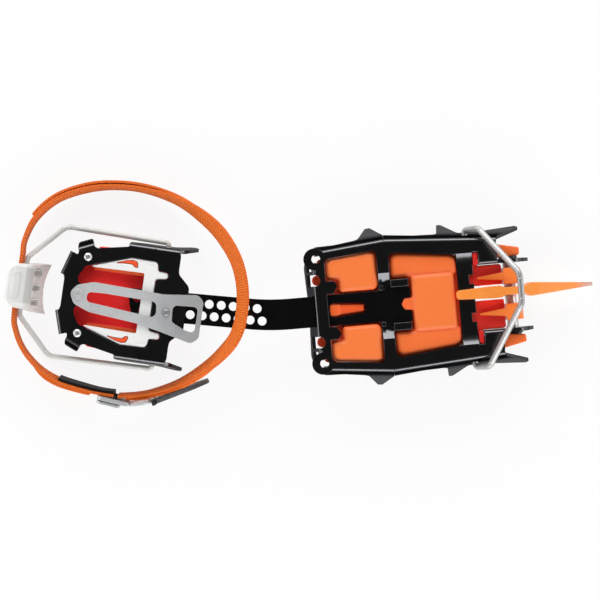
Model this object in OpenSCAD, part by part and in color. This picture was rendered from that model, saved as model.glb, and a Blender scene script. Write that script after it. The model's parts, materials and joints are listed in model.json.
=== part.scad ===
// Climbing crampon for a right boot: a front frame with one forged point, a heel frame that slides
// on a curved linking bar, a toe bail, a heel bail with its lever, and an ankle strap.
// X runs forward to the point, Y to the left, Z up. The side points stand on Z = 0.

/* [Sheet and stance] */
// Height of the boot's sole plane above the ground
sole_h = 34; // [30:0.5:40]
// Thickness of the frame sheet
sheet = 2.5; // [2.2:0.1:2.8]
// Clearance between a sliding or clipped piece and its seat
slip = 0.3; // [0.2:0.05:0.5]
// Radial clearance of a wire or axle in its hole
run_fit = 0.06; // [0.03:0.01:0.1]

/* [Front frame] */
// Turn of the front frame in plan, degrees
front_yaw = 4.9; // [2:0.1:8]
// Half width between the side bends at the rear crossbar
rear_half = 38.2; // [37.5:0.1:39.5]
// Half width between the side bends at the widest place
knee_half = 43; // [42:0.1:45]
// Half width between the side bends at the front end of the rails
end_half = 37.8; // [37:0.1:39]
// Distance of the widest place from the rear crossbar
knee_u = 46; // [44:0.5:50]
// Distance of the rails' front end from the rear crossbar
rail_end_u = 122; // [120:0.5:126]
// Width of the rear crossbar along the foot
crossbar_w = 6.5; // [5:0.1:7]
// Width of the side rails beside the rear window
rear_rail_w = 3.6; // [3:0.1:4.5]
// Width of the side rails at the rear end of the large window
mid_rail_w = 6.6; // [6:0.1:8]
// Width of the side rails at the front end of the large window
mid_rail_front_w = 8.8; // [8:0.1:9.5]
// Half width of the front opening, at the inner bends
inner_half = 25; // [24:0.1:27]
// Outward lean of the side flanges, degrees
flange_lean = 18; // [14:0.5:20]
// Depth of the side flanges between the points
flange_h = 10; // [8:0.5:12]
// Backward lean of the rear flange, degrees
rear_lean = 24; // [15:1:30]
// Depth of the rear flange
rear_flange_h = 14; // [12:0.5:16]
// Diameter of the round holes in the rear corners
corner_hole_d = 6; // [4:0.1:8]

/* [Linking bar] */
// Width of the bar
bar_w = 21; // [20:0.1:22]
// Thickness of the bar
bar_t = 2; // [1.8:0.1:2.4]
// Diameter of the bar's sizing holes
bar_hole_d = 6; // [5.9:0.05:6.4]
// Distance between two holes of a row
hole_pitch = 8.2; // [8:0.1:8.6]
// Distance between the two rows of holes
row_gap = 8.2; // [7.6:0.1:9]
// Holes in each row
row_holes = 11; // [11:1:11]
// Angle of the bend between the bar's two straight stretches, degrees
bar_bend = 10; // [8:0.5:12]
// Width of the bar's clipped front end
bar_head_w = 29; // [27:0.5:30]
// Length of the bar's clipped front end
bar_head_l = 18; // [16:0.5:19]

/* [Front point] */
// Sideways place of the front point from the frame's middle
point_v = 3; // [0:0.5:4]
// Distance of the point's tip from the rear crossbar
point_tip_u = 188; // [180:1:194]
// Height of the point's tip above the ground
point_tip_z = 14; // [10:0.5:20]
// Thickness of the point at its clamped body
point_body_t = 8.4; // [7:0.1:9]
// Thickness of the point at its neck
point_neck_t = 5.2; // [4.5:0.1:6]
// Thickness of the point at the flare of its blade
point_flare_t = 9.4; // [8:0.1:10]
// Diameter of the axle that clamps the point
axle_d = 8; // [7:0.1:9]
// Diameter of the axle's bolt head and of its washer
axle_head_d = 13; // [11:0.5:13.5]
// Length of each spacer along the axle
spacer_l = 11; // [9:0.5:12]

/* [Toe bail] */
// Diameter of the toe bail's wire
toe_wire_d = 4.2; // [3.8:0.1:4.6]
// Length of the toe bail from its pivot to its top
toe_bail_l = 47; // [44:0.5:52]
// Elevation of the toe bail at rest, degrees
toe_bail_rise = 48; // [44:1:60]
// Depth of the bail's pivot holes below the side bend
toe_pivot_drop = 7; // [6.5:0.1:7.5]

/* [Heel frame] */
// Turn of the heel frame in plan, degrees
heel_yaw = -8.2; // [-9:0.1:-7]
// Half width between the heel's side bends
heel_half = 37.1; // [36.5:0.1:38.5]
// Outward lean of the heel's side flanges, degrees
heel_lean = 7; // [4:0.5:9]
// Depth of the heel's side flanges
heel_flange_h = 15; // [13:0.5:17]
// Diameter of the heel screws
screw_d = 4; // [3.5:0.1:4.5]
// Diameter of the heel screws' heads
screw_head_d = 5.8; // [5.4:0.1:6.6]

/* [Sizing spring] */
// Thickness of the sizing spring
spring_t = 1.2; // [1:0.1:1.6]
// Diameter of the locking pin under the spring
pin_d = 5.6; // [5.2:0.05:5.7]
// Depth that the pin reaches into the bar
pin_reach = 1.5; // [1:0.1:1.8]

/* [Heel bail and lever] */
// Diameter of the heel bail's wire
heel_wire_d = 3.5; // [3.2:0.1:3.9]
// Height of the bail's pivots above the ground
heel_pivot_z = 24; // [22:0.5:25]
// Distance from the bail's pivots to the lever's axis
heel_bail_l = 95.5; // [94:0.5:100]
// Drop of the lever's axis below the pivots
lever_drop = 5; // [3:0.5:6]
// Tilt of the lever at rest, degrees
lever_tilt = 43; // [38:1:46]
// Width of the lever at its axis
lever_w = 31; // [29:0.5:31.5]
// Width of the lever at its hooked edge
lever_edge_w = 35; // [33:0.5:36]

/* [Ankle strap] */
// Width of the webbing
strap_w = 16; // [14:0.5:16]
// Thickness of the webbing
strap_t = 1.8; // [1.4:0.1:2]
// Lean of the webbing's top edge away from the loop where it crosses the bar, degrees
strap_lean = 28; // [24:1:32]

/* [Hidden] */
$fn = 48;

// Places of the two frames' own origins, and heights shared by the pieces
front_at = [15.3, -4.3];
heel_at = [-95.5, -0.7];
bend_z = sole_h - sheet;
bar_top = bend_z - slip;
bar_z = bar_top - bar_t;
tray_z = bar_z - sheet;
eps = 0.01;
snow_plate_t = 2.2;
axle_z = tray_z - snow_plate_t - axle_head_d / 2 - 0.5;

// Front frame stations along the foot, from the rear crossbar
rear_u = -2.2;
crossbar_u = rear_u + crossbar_w;
arm_u = [40, 48];
bridge_u = [94, 105];
arm_v = [22.4, 16.3];
bridge_v = [31.2, 24];
side_point_u = [37.8, 85.4];
front_tip_u = 140;
nub_l = 4;
inner_u = bridge_u[1] + nub_l;
inner_tip_u = 146;
axle_u = 130.5;
toe_pivot_u = 101.7;
tray_end_u = 60;
ear_r = 7.5;
nub_v = [22.5, 31.2];
ear_at = [-1.2, rear_half - 2.6];
ear_shift = [-1, 0];
rear_opening = [[17.2, 25], [27.4, 32.4]];
rear_rim = 4.7;
point_lap = 2;
bar_notch = [[0, 4.6], [-4.8, 4.5], [-7.2, 0]];

// Bar stations, from its bend rearwards
knee_bar_u = -35.7;
bend_r = 160;
first_hole = 4.9;
pin_hole = 8;
bar_tail = first_hole + (row_holes - 0.5) * hole_pitch + 7.5;
bar_head_u = [tray_end_u + 1 - bar_head_l, tray_end_u + 1];
bar_yaw = front_yaw - bar_bend;

// Heel stations, from the bail's pivots
heel_front_u = 10;
heel_lug_u = 18.5;
heel_lug_v = 18.4;
screw_at = [-52.5, 26.2];
rivet_at = [-55.5, 0.3];
heel_slot = [-4.7, 3.5];
guide_drop = 1.8;
wire_side = heel_half + sheet / cos(heel_lean) + heel_flange_h * sin(heel_lean) + heel_wire_d / 2 + slip;
lever_z = heel_pivot_z - lever_drop;
bail_pitch = asin(lever_drop / heel_bail_l);
seat_score = [0.8, 0.4];
seat_ends = [-44.6, -8.2];

// Slot for the webbing in the lever, upright at rest, and the webbing's run through it
slot_play = 0.8;
slot_off = heel_wire_d / 2 + run_fit + (strap_t + slot_play) / 2 + 0.8;
slot_drop = 3.3;
lever_run = 20;
function lever_pass(v) = concat(
    heel_at + turn2([-heel_bail_l * cos(bail_pitch) - slot_off, v], heel_yaw), [lever_z - slot_drop, 0]);

// Middle line of the webbing, from the buckle round through the lever and back to the buckle.
// The fourth number is the share of the full lean.
strap_route = [
    [-128, -62, 10.4, 0.2], [-138, -60.5, 10.2, 0.2], [-150, -57.5, 10, 0.27], [-167, -52, 10, 0.3],
    [-180, -43.5, 11, 0.16], [-190.3, -31, 13.5, 0.06], [-195.6, -17.6, 15.3, 0], lever_pass(1 - lever_run),
    lever_pass(lever_run - 1), [-189.4, 44.6, 15.2, 0], [-182, 60, 13, 0.14], [-167, 73, 11.2, 0.22],
    [-146, 80, 10.4, 0.26], [-126, 81.5, 10.4, 0.22], [-106, 79, 11, 0.28], [-84, 71.5, 14, 0.56],
    [-66, 60, 20, 1], [-52.5, 46.5, 29, 1.15], [-42.5, 29, 37.6, 1.03], [-38.5, 10, 40, 1],
    [-39.5, -8, 40.2, 1],
    [-43.5, -21, 38.8, 1.03], [-52, -32, 29.8, 1.03], [-65, -43, 21, 0.8], [-83, -53.5, 14, 0.46],
    [-101, -59.8, 11, 0.28], [-113, -62, 10.4, 0.22], [-125.4, -62.7, 10.4, 0.2]
];
ring_steps = 3;

function unit(v) = v / norm(v);
function lerp(a, b, t) = a + (b - a) * t;
function flat(p) = [p[0], p[1]];
function place(p) = [p[0], p[1], p[2]];
function turn2(p, a) = [p[0] * cos(a) - p[1] * sin(a), p[0] * sin(a) + p[1] * cos(a)];

// One corner of an outline, rounded to the radius in its third number
function corner(p0, p, p1, steps) =
    let (da = flat(p0) - flat(p), db = flat(p1) - flat(p), a = unit(da), b = unit(db), half = acos(a * b) / 2)
    let (r = min(p[2], 0.48 * min(norm(da), norm(db)) * tan(half)))
    let (c = flat(p) + unit(a + b) * r / sin(half), s = flat(p) + a * r / tan(half) - c)
    let (e = flat(p) + b * r / tan(half) - c, from = atan2(s[1], s[0]))
    let (sweep = (atan2(e[1], e[0]) - from + 540) % 360 - 180)
    [for (i = [0:steps]) c + r * [cos(from + sweep * i / steps), sin(from + sweep * i / steps)]];

// An outline whose points give x, y and a corner radius
function rounded(pts, steps = 5) =
    let (n = len(pts))
    [for (i = [0:n - 1])
        each pts[i][2] > 0 ? corner(pts[(i + n - 1) % n], pts[i], pts[(i + 1) % n], steps) : [flat(pts[i])]];

// The mirrored half of an outline that starts and ends on the middle line's left
function mirrored(pts) = [for (i = [len(pts) - 1:-1:0]) [pts[i][0], -pts[i][1], pts[i][2]]];
function both_halves(pts) = concat(pts, mirrored(pts));

// Half width of the front frame at a station, measured to the side bend
function rail_v(u) =
    u < knee_u ? lerp(rear_half, knee_half, (u - rear_u) / (knee_u - rear_u))
    : lerp(knee_half, end_half, (u - knee_u) / (rail_end_u - knee_u));

// Places on the rear stretch of the bar, in the part's own frame and in the heel's
bar_knee = front_at + turn2([knee_bar_u, 0], front_yaw);
function bar_place(s, w) = bar_knee + turn2([-s, w], bar_yaw);
function in_heel(p) = turn2(p - heel_at, -heel_yaw);
pin_place = bar_place(first_hole + pin_hole * hole_pitch, -row_gap / 2);
pin_at = in_heel(pin_place);

module at_front() translate([front_at[0], front_at[1], 0]) rotate(front_yaw) children();
module at_heel() translate([heel_at[0], heel_at[1], 0]) rotate(heel_yaw) children();
module at_bar() translate([bar_knee[0], bar_knee[1], 0]) rotate(bar_yaw) children();
module both_sides() {
    children();
    mirror([0, 1, 0]) children();
}
module slab(z0, z1) translate([0, 0, z0]) linear_extrude(z1 - z0) children();

// A folded flange: outline in length and height below the bend, leaning outwards to the left of its run.
// The bend laps a little into the sheet above it and the flange below it.
module flange(p0, p1, lean) {
    run = p1 - p0;
    lap = 0.2;
    r = sheet + 0.08;
    arc = [for (i = [0:6]) let (a = 96 + (lean - 102) * i / 6) [r * cos(a), r * sin(a) - 0.13]];
    inner = [turn2([sheet / 2, -2 * lap], lean), turn2([0.3, 0.05], lean), [-0.3, 0.4], [-1, 0.4],
        [-1, sheet - 0.4]];
    translate([p0[0], p0[1], bend_z]) rotate(atan2(run[1], run[0])) {
        rotate([lean, 0, 0]) translate([0, sheet, 0]) rotate([90, 0, 0]) linear_extrude(sheet) {
            children();
            translate([0, -lap]) square([norm(run), 2 * lap]);
        }
        rotate([90, 0, 90]) linear_extrude(norm(run)) polygon(concat(arc, inner));
    }
}

// Round wire along a flat run of points with a bend at each inner point
module wire(pts, d, r) {
    n = len(pts);
    heading = [for (i = [0:n - 2]) atan2(pts[i + 1][1] - pts[i][1], pts[i + 1][0] - pts[i][0])];
    turn = [for (i = [0:n - 1]) i == 0 || i == n - 1 ? 0 : (heading[i] - heading[i - 1] + 540) % 360 - 180];
    trim = [for (i = [0:n - 1]) r[i] * tan(abs(turn[i]) / 2)];
    for (i = [0:n - 2]) {
        dir = [cos(heading[i]), sin(heading[i])];
        lap = [i == 0 ? 0 : 0.2, i == n - 2 ? 0 : 0.2];
        from = pts[i] + dir * (trim[i] - lap[0]);
        long = norm(pts[i + 1] - pts[i]) - trim[i] - trim[i + 1] + lap[0] + lap[1];
        translate([from[0], from[1], 0]) rotate([0, 0, heading[i]]) rotate([0, 90, 0])
            cylinder(d = d, h = long);
    }
    for (i = [1:n - 2]) {
        side = sign(turn[i]);
        from = pts[i] - trim[i] * [cos(heading[i - 1]), sin(heading[i - 1])];
        c = from + r[i] * side * [-sin(heading[i - 1]), cos(heading[i - 1])];
        start = side > 0 ? heading[i - 1] - 90 : heading[i - 1] + 90 - abs(turn[i]);
        translate([c[0], c[1], 0]) rotate(start) rotate_extrude(angle = abs(turn[i]))
            translate([r[i], 0]) circle(d = d + 0.04);
    }
}

// A sheet strip that steps down from its two ends to a lower middle
module joggle(u, v, low) {
    k = sheet * tan(atan2(bend_z + sheet - low, v[0] - v[1]) / 2);
    half = [[v[0] + k, bend_z], [v[0], sole_h], [v[1], low]];
    under = [[v[1] + k, low - sheet]];
    pts = concat(half, [for (p = [half[2], half[1], half[0]]) [-p[0], p[1]]],
        [for (p = under) [-p[0], p[1]]], under);
    translate([u[0], 0, 0]) rotate([90, 0, 90]) linear_extrude(u[1] - u[0]) polygon(pts);
}

// Front frame: folded sheet with rails, crossbars, leaning flanges and points
point_reach = bend_z / cos(flange_lean);

module front_sheet() {
    rear_in = [[crossbar_u, 0, 0], [crossbar_u, rail_v(crossbar_u) - rear_rail_w, 4],
        [arm_u[0], rail_v(arm_u[0]) - rear_rail_w, 3], [arm_u[0], 0, 0]];
    mid_in = [[arm_u[1], 0, 0], [arm_u[1], rail_v(arm_u[1]) - mid_rail_w, 4],
        [bridge_u[0], rail_v(bridge_u[0]) - mid_rail_front_w, 4], [bridge_u[0], 0, 0]];
    difference() {
        union() {
            polygon(rounded([[rear_u, 0, 0], [rear_u, rear_half, 0], [knee_u, knee_half, 0],
                [rail_end_u, end_half, 2],
                [rail_end_u, inner_half, 2], [bridge_u[0], inner_half, 0], [bridge_u[0], 0, 0]]));
            translate(ear_at + ear_shift) circle(r = ear_r);
        }
        polygon(rounded(rear_in));
        polygon(rounded(mid_in));
        translate([arm_u[0] - 1, -1]) square([arm_u[1] - arm_u[0] + 2, arm_v[0] + 1]);
        translate([bridge_u[0] - 1, -1]) square([bridge_u[1] - bridge_u[0] + 1, bridge_v[0] + 1]);
        translate([bridge_u[1] - eps, -1]) square([rail_end_u, inner_half + 1]);
        translate([bridge_u[1] - eps, -1]) square([inner_u - bridge_u[1] + eps, nub_v[1] + slip + 1]);
        translate(ear_at) circle(d = corner_hole_d);
    }
}

module side_flange_rear() {
    p0 = [rear_u, rear_half];
    p1 = [knee_u, knee_half];
    tip = side_point_u[0] - rear_u;
    flange(p0, p1, flange_lean)
        polygon(rounded([[0, 0, 0], [norm(p1 - p0), 0, 0], [norm(p1 - p0), -flange_h, 0],
            [tip + 9, -flange_h, 5],
            [tip + 1.6, -point_reach, 1], [tip - 1.6, -point_reach, 1], [tip - 9, -flange_h, 5],
            [14, -flange_h + 2, 12], [0, -flange_h - 2, 3]]));
}

module side_flange_front() {
    p0 = [knee_u, knee_half];
    p1 = [rail_end_u, end_half];
    tip = side_point_u[1] - knee_u;
    long = rail_end_u - knee_u;
    reach = front_tip_u - knee_u;
    flange(p0, p1, flange_lean)
        polygon(rounded([[-0.2, 0, 0], [long, 0, 0], [long + 1, -3, 2], [reach, -point_reach + 8, 1],
            [reach - 2, -point_reach + 5, 1], [long - 12, -flange_h - 5, 8], [long - 20, -flange_h - 4, 5],
            [tip + 12, -flange_h - 2, 5], [tip + 1.5, -point_reach, 1], [tip - 1.5, -point_reach, 1],
            [tip - 3, -flange_h, 4], [20, -flange_h + 2, 14], [-0.2, -flange_h, 0]]));
}

module inner_flange() {
    tip = [inner_tip_u, 5];
    low = axle_z - axle_d / 2 - 5;
    flange([rail_end_u, inner_half], [inner_u, inner_half], 0)
        translate([rail_end_u, -bend_z]) mirror([1, 0])
            polygon(rounded([[inner_u, bend_z, 0], [rail_end_u, bend_z, 0], [axle_u + 5, bend_z - 2, 5],
                [axle_u + 9, bend_z - 6, 3], [tip[0], tip[1], 1], [tip[0] - 3, tip[1] - 2, 1],
                [axle_u - 2, low, 5], [inner_u, low + 5, 4]]));
}

module rear_flange() {
    half = rear_half - 5;
    flange([rear_u, -half], [rear_u, half], rear_lean)
        polygon(rounded([[0, 0, 0], [2 * half, 0, 0], [2 * half + 2, -rear_flange_h, 5],
            [half + 14, -rear_flange_h + 2, 6], [half, -rear_flange_h + 4, 20],
            [half - 14, -rear_flange_h + 2, 6], [-2, -rear_flange_h, 5]]));
}

// Openings through the rear bend: the inner pair is rounded into the crossbar, the outer pair stays under it
module rear_openings() {
    low = bend_z - (rear_flange_h - rear_rim) * cos(rear_lean);
    for (k = [0, 1]) {
        v = rear_opening[k];
        top = k == 0 ? sole_h + 1 : bend_z - slip;
        translate([rear_u - 14, v[0], low]) cube([14, v[1] - v[0], top - low]);
    }
    inner = rear_opening[0];
    slab(low, sole_h + 1) translate([rear_u - 1, (inner[0] + inner[1]) / 2]) circle(d = inner[1] - inner[0]);
}

module bar_seat() {
    tray_half = bar_head_w / 2 + slip + sheet;
    lip = 2.2;
    both_sides() {
        difference() {
            translate([0, 0, 0]) slab(tray_z, sole_h)
                translate([arm_u[1], bar_head_w / 2 - lip]) square([tray_end_u - arm_u[1],
                    lip + slip + sheet]);
            translate([0, 0, bar_z]) slab(0, bar_t + slip)
                translate([0, -1]) square([bar_head_u[1], bar_head_w / 2 + slip + 1]);
        }
        slab(tray_z, bar_top + 0.8)
            translate([arm_u[0], bar_w / 2 + slip]) square([bar_head_u[0] - slip - arm_u[0], 3.2]);
        slab(bend_z, sole_h) polygon(rounded([[crossbar_u - 1, 12, 0], [crossbar_u + 5, 12, 1.5],
            [crossbar_u + 8, 17, 2], [crossbar_u + 5, 20, 2], [crossbar_u - 1, 20, 0]]));
        slab(tray_z + sheet + slip, sole_h)
            translate([crossbar_u - 1, bar_w / 2 + 2 * slip]) square([6, sheet]);
    }
    slab(tray_z, bar_z) difference() {
        translate([arm_u[0], -tray_half]) square([tray_end_u - arm_u[0], 2 * tray_half]);
        notch_outline(bar_head_u[1], 0.4);
    }
}

// Arrow-shaped notch in the bar's clipped end, open forwards, wider by a gap on each side
module notch_outline(u, gap) {
    half = [[u + 4, bar_notch[0][1] + gap, 0], [u + bar_notch[1][0] - gap, bar_notch[1][1] + gap, 0.5],
        [u + bar_notch[2][0] - gap, 0.6, 0.5]];
    polygon(rounded(both_halves(half)));
}

module front_bridge() {
    notch = [3, 6];
    difference() {
        joggle(bridge_u, bridge_v, bar_z);
        for (v = [-13, 13]) slab(tray_z - 1, bar_z + 1)
            translate([bridge_u[1] - notch[0], v - notch[1] / 2]) square([notch[0] + 1, notch[1]]);
    }
}

module front_frame() {
    color("#24262a") at_front() {
        difference() {
            both_sides() {
                difference() {
                    slab(bend_z, sole_h) front_sheet();
                    rear_openings();
                }
                side_flange_rear();
                side_flange_front();
                inner_flange();
            }
            translate([toe_pivot_u, 0, toe_pivot_z]) rotate([90, 0, 0])
                cylinder(d = toe_wire_d + 2 * run_fit, h = 120, center = true);
            translate([axle_u, 0, axle_z]) rotate([90, 0, 0])
                cylinder(d = axle_d + 2 * run_fit, h = 2 * inner_half + 8, center = true);
        }
        difference() {
            rear_flange();
            both_sides() rear_openings();
            slab(bar_z - slip, bend_z) translate([rear_u - 14, -bar_w / 2 - 2 * slip])
                square([14, bar_w + 4 * slip]);
        }
        joggle(arm_u, arm_v, bar_z);
        bar_seat();
        front_bridge();
    }
}

// Flexible plates under the front frame that shed snow, with a swell in each window
module swell(pts, z0, z1, inset) {
    c = [for (k = [0, 1]) (min([for (p = pts) p[k]]) + max([for (p = pts) p[k]])) / 2];
    size = [for (k = [0, 1]) max([for (p = pts) p[k]]) - min([for (p = pts) p[k]])];
    hull() {
        slab(z0, z1 - inset) polygon(rounded(pts, 6));
        for (q = [[0.45, 0.3], [1, 0]])
            slab(z1 - inset * q[1] - eps, z1 - inset * q[1]) translate(c)
                scale([1 - 2 * inset * q[0] / size[0], 1 - 2 * inset * q[0] / size[1]]) translate(-c)
                    polygon(rounded(pts, 6));
    }
}

module front_antisnow() {
    top = sole_h - 1;
    lobe_top = sole_h - 2.2;
    base = tray_z - snow_plate_t;
    g = slip + 0.1;
    head_half = bar_head_w / 2 + slip + sheet;
    rear_side = [for (u = [crossbar_u, arm_u[0]]) rail_v(u) - rear_rail_w - g];
    rear_long = [[crossbar_u + g, 20.6, 2], [crossbar_u + g, rear_side[0], 4],
        [arm_u[0] - g, rear_side[1], 4], [arm_u[0] - g, 20.6, 1]];
    rear_deep = [[crossbar_u + 8.6, bar_w / 2 + 1, 2], [crossbar_u + 8.6, rear_side[0] - 1, 1],
        [arm_u[0] - g, rear_side[1] - 1, 1], [arm_u[0] - g, bar_w / 2 + 1, 4]];
    mid_side = [rail_v(arm_u[1]) - mid_rail_w - g, rail_v(bridge_u[0]) - mid_rail_front_w - g];
    side_pad = [[arm_u[1] + g, head_half + 1, 2], [arm_u[1] + g, mid_side[0], 4],
        [bridge_u[0] - g, mid_side[1], 4], [bridge_u[0] - g, head_half + 1, 1]];
    mid_end = bridge_u[0] - point_lap - 0.5;
    mid_pad = [[tray_end_u + 2, -head_half - 2, 2], [tray_end_u + 2, head_half + 2, 2],
        [mid_end, head_half + 2, 1], [mid_end, -head_half - 2, 1]];
    well = axle_u - 5.6;
    plate = [[rear_u + 1, 0, 0], [rear_u + 1, rear_half - 3, 3], [knee_u, knee_half - 2, 0],
        [bridge_u[1], rail_v(bridge_u[1]) - 2, 0], [rail_end_u, end_half - 2, 0],
        [front_tip_u - 1.8, inner_half + 7.4, 1],
        [front_tip_u - 2.2, inner_half + 2, 1], [inner_u - 1, inner_half + 0.6, 0],
        [inner_u - 1, inner_half - sheet - g, 0], [well, inner_half - sheet - g, 2], [well, 0, 0]];
    slot_half = point_body_t / 2 + 0.8;
    color("#f47c3c") at_front() {
        slab(base, tray_z) difference() {
            union() {
                polygon(rounded(both_halves(plate)));
                for (v = rear_opening, side = [-1, 1])
                    translate([rear_u + 0.6, side * (v[0] + v[1]) / 2]) circle(r = (v[1] - v[0]) / 2 - slip);
            }
            translate([bridge_u[1] - 1, point_v - slot_half]) square([40, 2 * slot_half]);
        }
        both_sides() {
            swell(rear_long, tray_z - eps, top, 3);
            swell(rear_deep, tray_z - eps, top, 3);
        }
        both_sides() swell(side_pad, tray_z - eps, lobe_top, 2.6);
        swell(mid_pad, tray_z - eps, top, 2.6);
        slab(tray_z - eps, bar_top) notch_filler();
    }
}

// Tongue of the plate that stands in the bar's notch
module notch_filler() {
    u = bar_head_u[1];
    half = [[u + 3, bar_notch[0][1] - slip - 0.2, 0],
        [u + bar_notch[1][0] + slip, bar_notch[1][1] - slip - 0.2, 0.5],
        [u + bar_notch[2][0] + 2 * slip, 0.4, 0.3]];
    polygon(rounded(both_halves(half)));
}

module front_clip_nubs() {
    color("#b3232a") at_front() both_sides()
        slab(tray_z, sole_h - 1) polygon(rounded([[bridge_u[1] + slip, nub_v[0], 1.2],
            [bridge_u[1] + slip, nub_v[1], 1.2],
            [inner_u - slip, nub_v[1], 1.2], [inner_u - slip, nub_v[0], 1.2]]));
}

// Forged front point: plan outline and side outline, crossed
module front_point() {
    tail_u = bridge_u[0] - point_lap;
    neck_u = axle_u + 9;
    flare_u = neck_u + 4;
    b = point_body_t / 2;
    plan = [[tail_u, 3, 2.5], [axle_u - 14, b, 4], [axle_u - 8, b, 4], [axle_u - 5, point_neck_t / 2, 4],
        [neck_u, point_neck_t / 2, 2], [flare_u, point_flare_t / 2, 1.5], [point_tip_u, 1.1, 0.8]];
    side = [[tail_u, bar_z, 2], [bridge_u[1] + 2, bar_z, 2], [axle_u - 12, axle_z - 8, 4],
        [axle_u + 4, axle_z - 10, 8],
        [neck_u + 8, axle_z - 7, 10], [point_tip_u, point_tip_z - 1.5, 0.8],
        [point_tip_u, point_tip_z + 0.6, 0.8],
        [flare_u + 6, axle_z + 11, 14], [axle_u, bend_z + 2, 12], [tail_u + 16, bar_z + 7, 10],
        [tail_u, bar_z + 6, 3]];
    color("#f99444") at_front() translate([0, point_v, 0]) difference() {
        intersection() {
            slab(0, sole_h + 8) polygon(rounded(both_halves(plan)));
            rotate([90, 0, 0]) linear_extrude(20, center = true) polygon(rounded(side));
        }
        translate([axle_u, 0, axle_z]) rotate([90, 0, 0])
            cylinder(d = axle_d + 2 * run_fit, h = 40, center = true);
    }
}

module point_axle() {
    color("#d5d8da") at_front() translate([axle_u, 0, axle_z]) rotate([90, 0, 0])
        cylinder(d = axle_d, h = 2 * inner_half, center = true);
}
module axle_end(side) {
    at_front() translate([axle_u, side * inner_half, axle_z]) rotate([-90 * side, 0, 0]) children();
}
module axle_head() {
    color("#3a3d41") axle_end(1) difference() {
        rotate_extrude() polygon([[0, 0], [axle_head_d / 2, 0], [axle_head_d / 2, 2.6],
            [axle_head_d / 2 - 1.1, 3.8], [0, 3.8]]);
        translate([0, 0, 1.6]) cylinder(d = 5.8, h = 4, $fn = 6);
    }
}
module axle_nut() {
    color("#3a3d41") axle_end(-1) {
        cylinder(d = axle_head_d, h = 1.2);
        translate([0, 0, 1.2]) cylinder(d = axle_head_d - 2, h = 4, $fn = 6);
    }
}

// Spacers on the axle, each with a tapered tail that reaches back over the plate
module spacer(v0, v1) {
    tail_u = bridge_u[1] + 2.4;
    mid = (v0 + v1) / 2;
    body_u = [axle_u - 5, axle_u + 7.4];
    body = [[body_u[0], axle_z - 6, 2], [axle_u + 5, axle_z - 7, 3], [body_u[1], axle_z + 4, 3],
        [body_u[1] - 1.6, bend_z - 1, 3], [body_u[0], bend_z - 1, 1]];
    fin = [[tail_u, tray_z + 0.8, 0.6], [body_u[0] + 1, tray_z + 0.6, 0], [body_u[0] + 1, bend_z - 1.6, 0],
        [tail_u, tray_z + 2.4, 0.6]];
    color("#f58a3c") at_front() difference() {
        union() {
            translate([0, v1, 0]) rotate([90, 0, 0]) linear_extrude(v1 - v0) polygon(rounded(body));
            intersection() {
                translate([0, v1, 0]) rotate([90, 0, 0]) linear_extrude(v1 - v0) polygon(rounded(fin));
                slab(0, sole_h) polygon(rounded([[tail_u, mid - 0.6, 0.4], [body_u[0] + 2, v0 + 2.4, 0],
                    [body_u[0] + 2, v1 - 2.4, 0], [tail_u, mid + 0.6, 0.4]]));
            }
        }
        translate([axle_u, 0, axle_z]) rotate([90, 0, 0])
            cylinder(d = axle_d + 2 * run_fit, h = 80, center = true);
    }
}
left_face = point_v + point_body_t / 2 + 0.6;
right_face = point_v - point_body_t / 2 - 4.5;
module left_spacer() spacer(left_face, left_face + spacer_l);
module right_spacer() spacer(right_face - spacer_l, right_face);

// Toe bail: one bent wire, in its own plane that turns about the pivot line
toe_pivot_z = bend_z - toe_pivot_drop * cos(flange_lean);
toe_face_v = rail_v(toe_pivot_u) + toe_pivot_drop * sin(flange_lean) + sheet / cos(flange_lean);
module toe_bail() {
    side = toe_face_v + toe_wire_d / 2 + 1;
    top = [14.5, -5.5];
    inner = rail_v(toe_pivot_u) - 1;
    color("#b9bdc0") at_front() translate([toe_pivot_u, 0, toe_pivot_z]) rotate([0, -toe_bail_rise, 0])
        wire([[0, inner], [0, side], [13, side], [toe_bail_l, top[0]], [toe_bail_l, top[1]], [13, -side],
            [0, -side], [0, -inner]], toe_wire_d, [0, 2.8, 6, 9, 9, 6, 2.8, 0]);
}

// Linking bar: two straight stretches joined by an arc, clipped at the front, drilled at the rear
function bar_arc(side, steps) = [for (i = [0:steps])
    let (q = [knee_bar_u + bend_r * tan(bar_bend / 2), bend_r] + turn2([0, side * bar_w / 2 - bend_r],
        -bar_bend * i / steps))
    [q[0], q[1], 0]];
module bar_outline() {
    half = bar_w / 2;
    slot = [[crossbar_u + 1, 5.2, 3], [crossbar_u + 26, 3.3, 2.5]];
    head = [[bar_head_u[0], -half, 0], [bar_head_u[0] + 3, -bar_head_w / 2, 2],
        [bar_head_u[1] - 2, -bar_head_w / 2, 4],
        [bar_head_u[1], -bar_head_w / 2 + 4, 3], [bar_head_u[1], -bar_notch[0][1], 0.6],
        [bar_head_u[1] + bar_notch[1][0], -bar_notch[1][1], 0.6]];
    peak = [[bar_head_u[1] + bar_notch[2][0], 0, 0.8]];
    tail = [for (q = [[5 - bar_tail, -half], [-bar_tail, half]])
        let (p = [knee_bar_u, 0] + turn2(q, -bar_bend)) [p[0], p[1], 4]];
    right = bar_arc(-1, 10);
    run = [for (i = [10:-1:0]) right[i]];
    difference() {
        polygon(rounded(concat([tail[1], tail[0]], run, head, peak, mirrored(head), bar_arc(1, 10))));
        polygon(rounded(both_halves(slot)));
    }
}
module linking_bar() {
    color("#1f2125") difference() {
        at_front() slab(bar_z, bar_top) bar_outline();
        at_bar() for (i = [0:row_holes - 1], row = [-1, 1])
            translate([-first_hole - (i + (row + 1) / 4) * hole_pitch, row * row_gap / 2, bar_z - 1])
                cylinder(d = bar_hole_d, h = bar_t + 2);
    }
}

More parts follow.
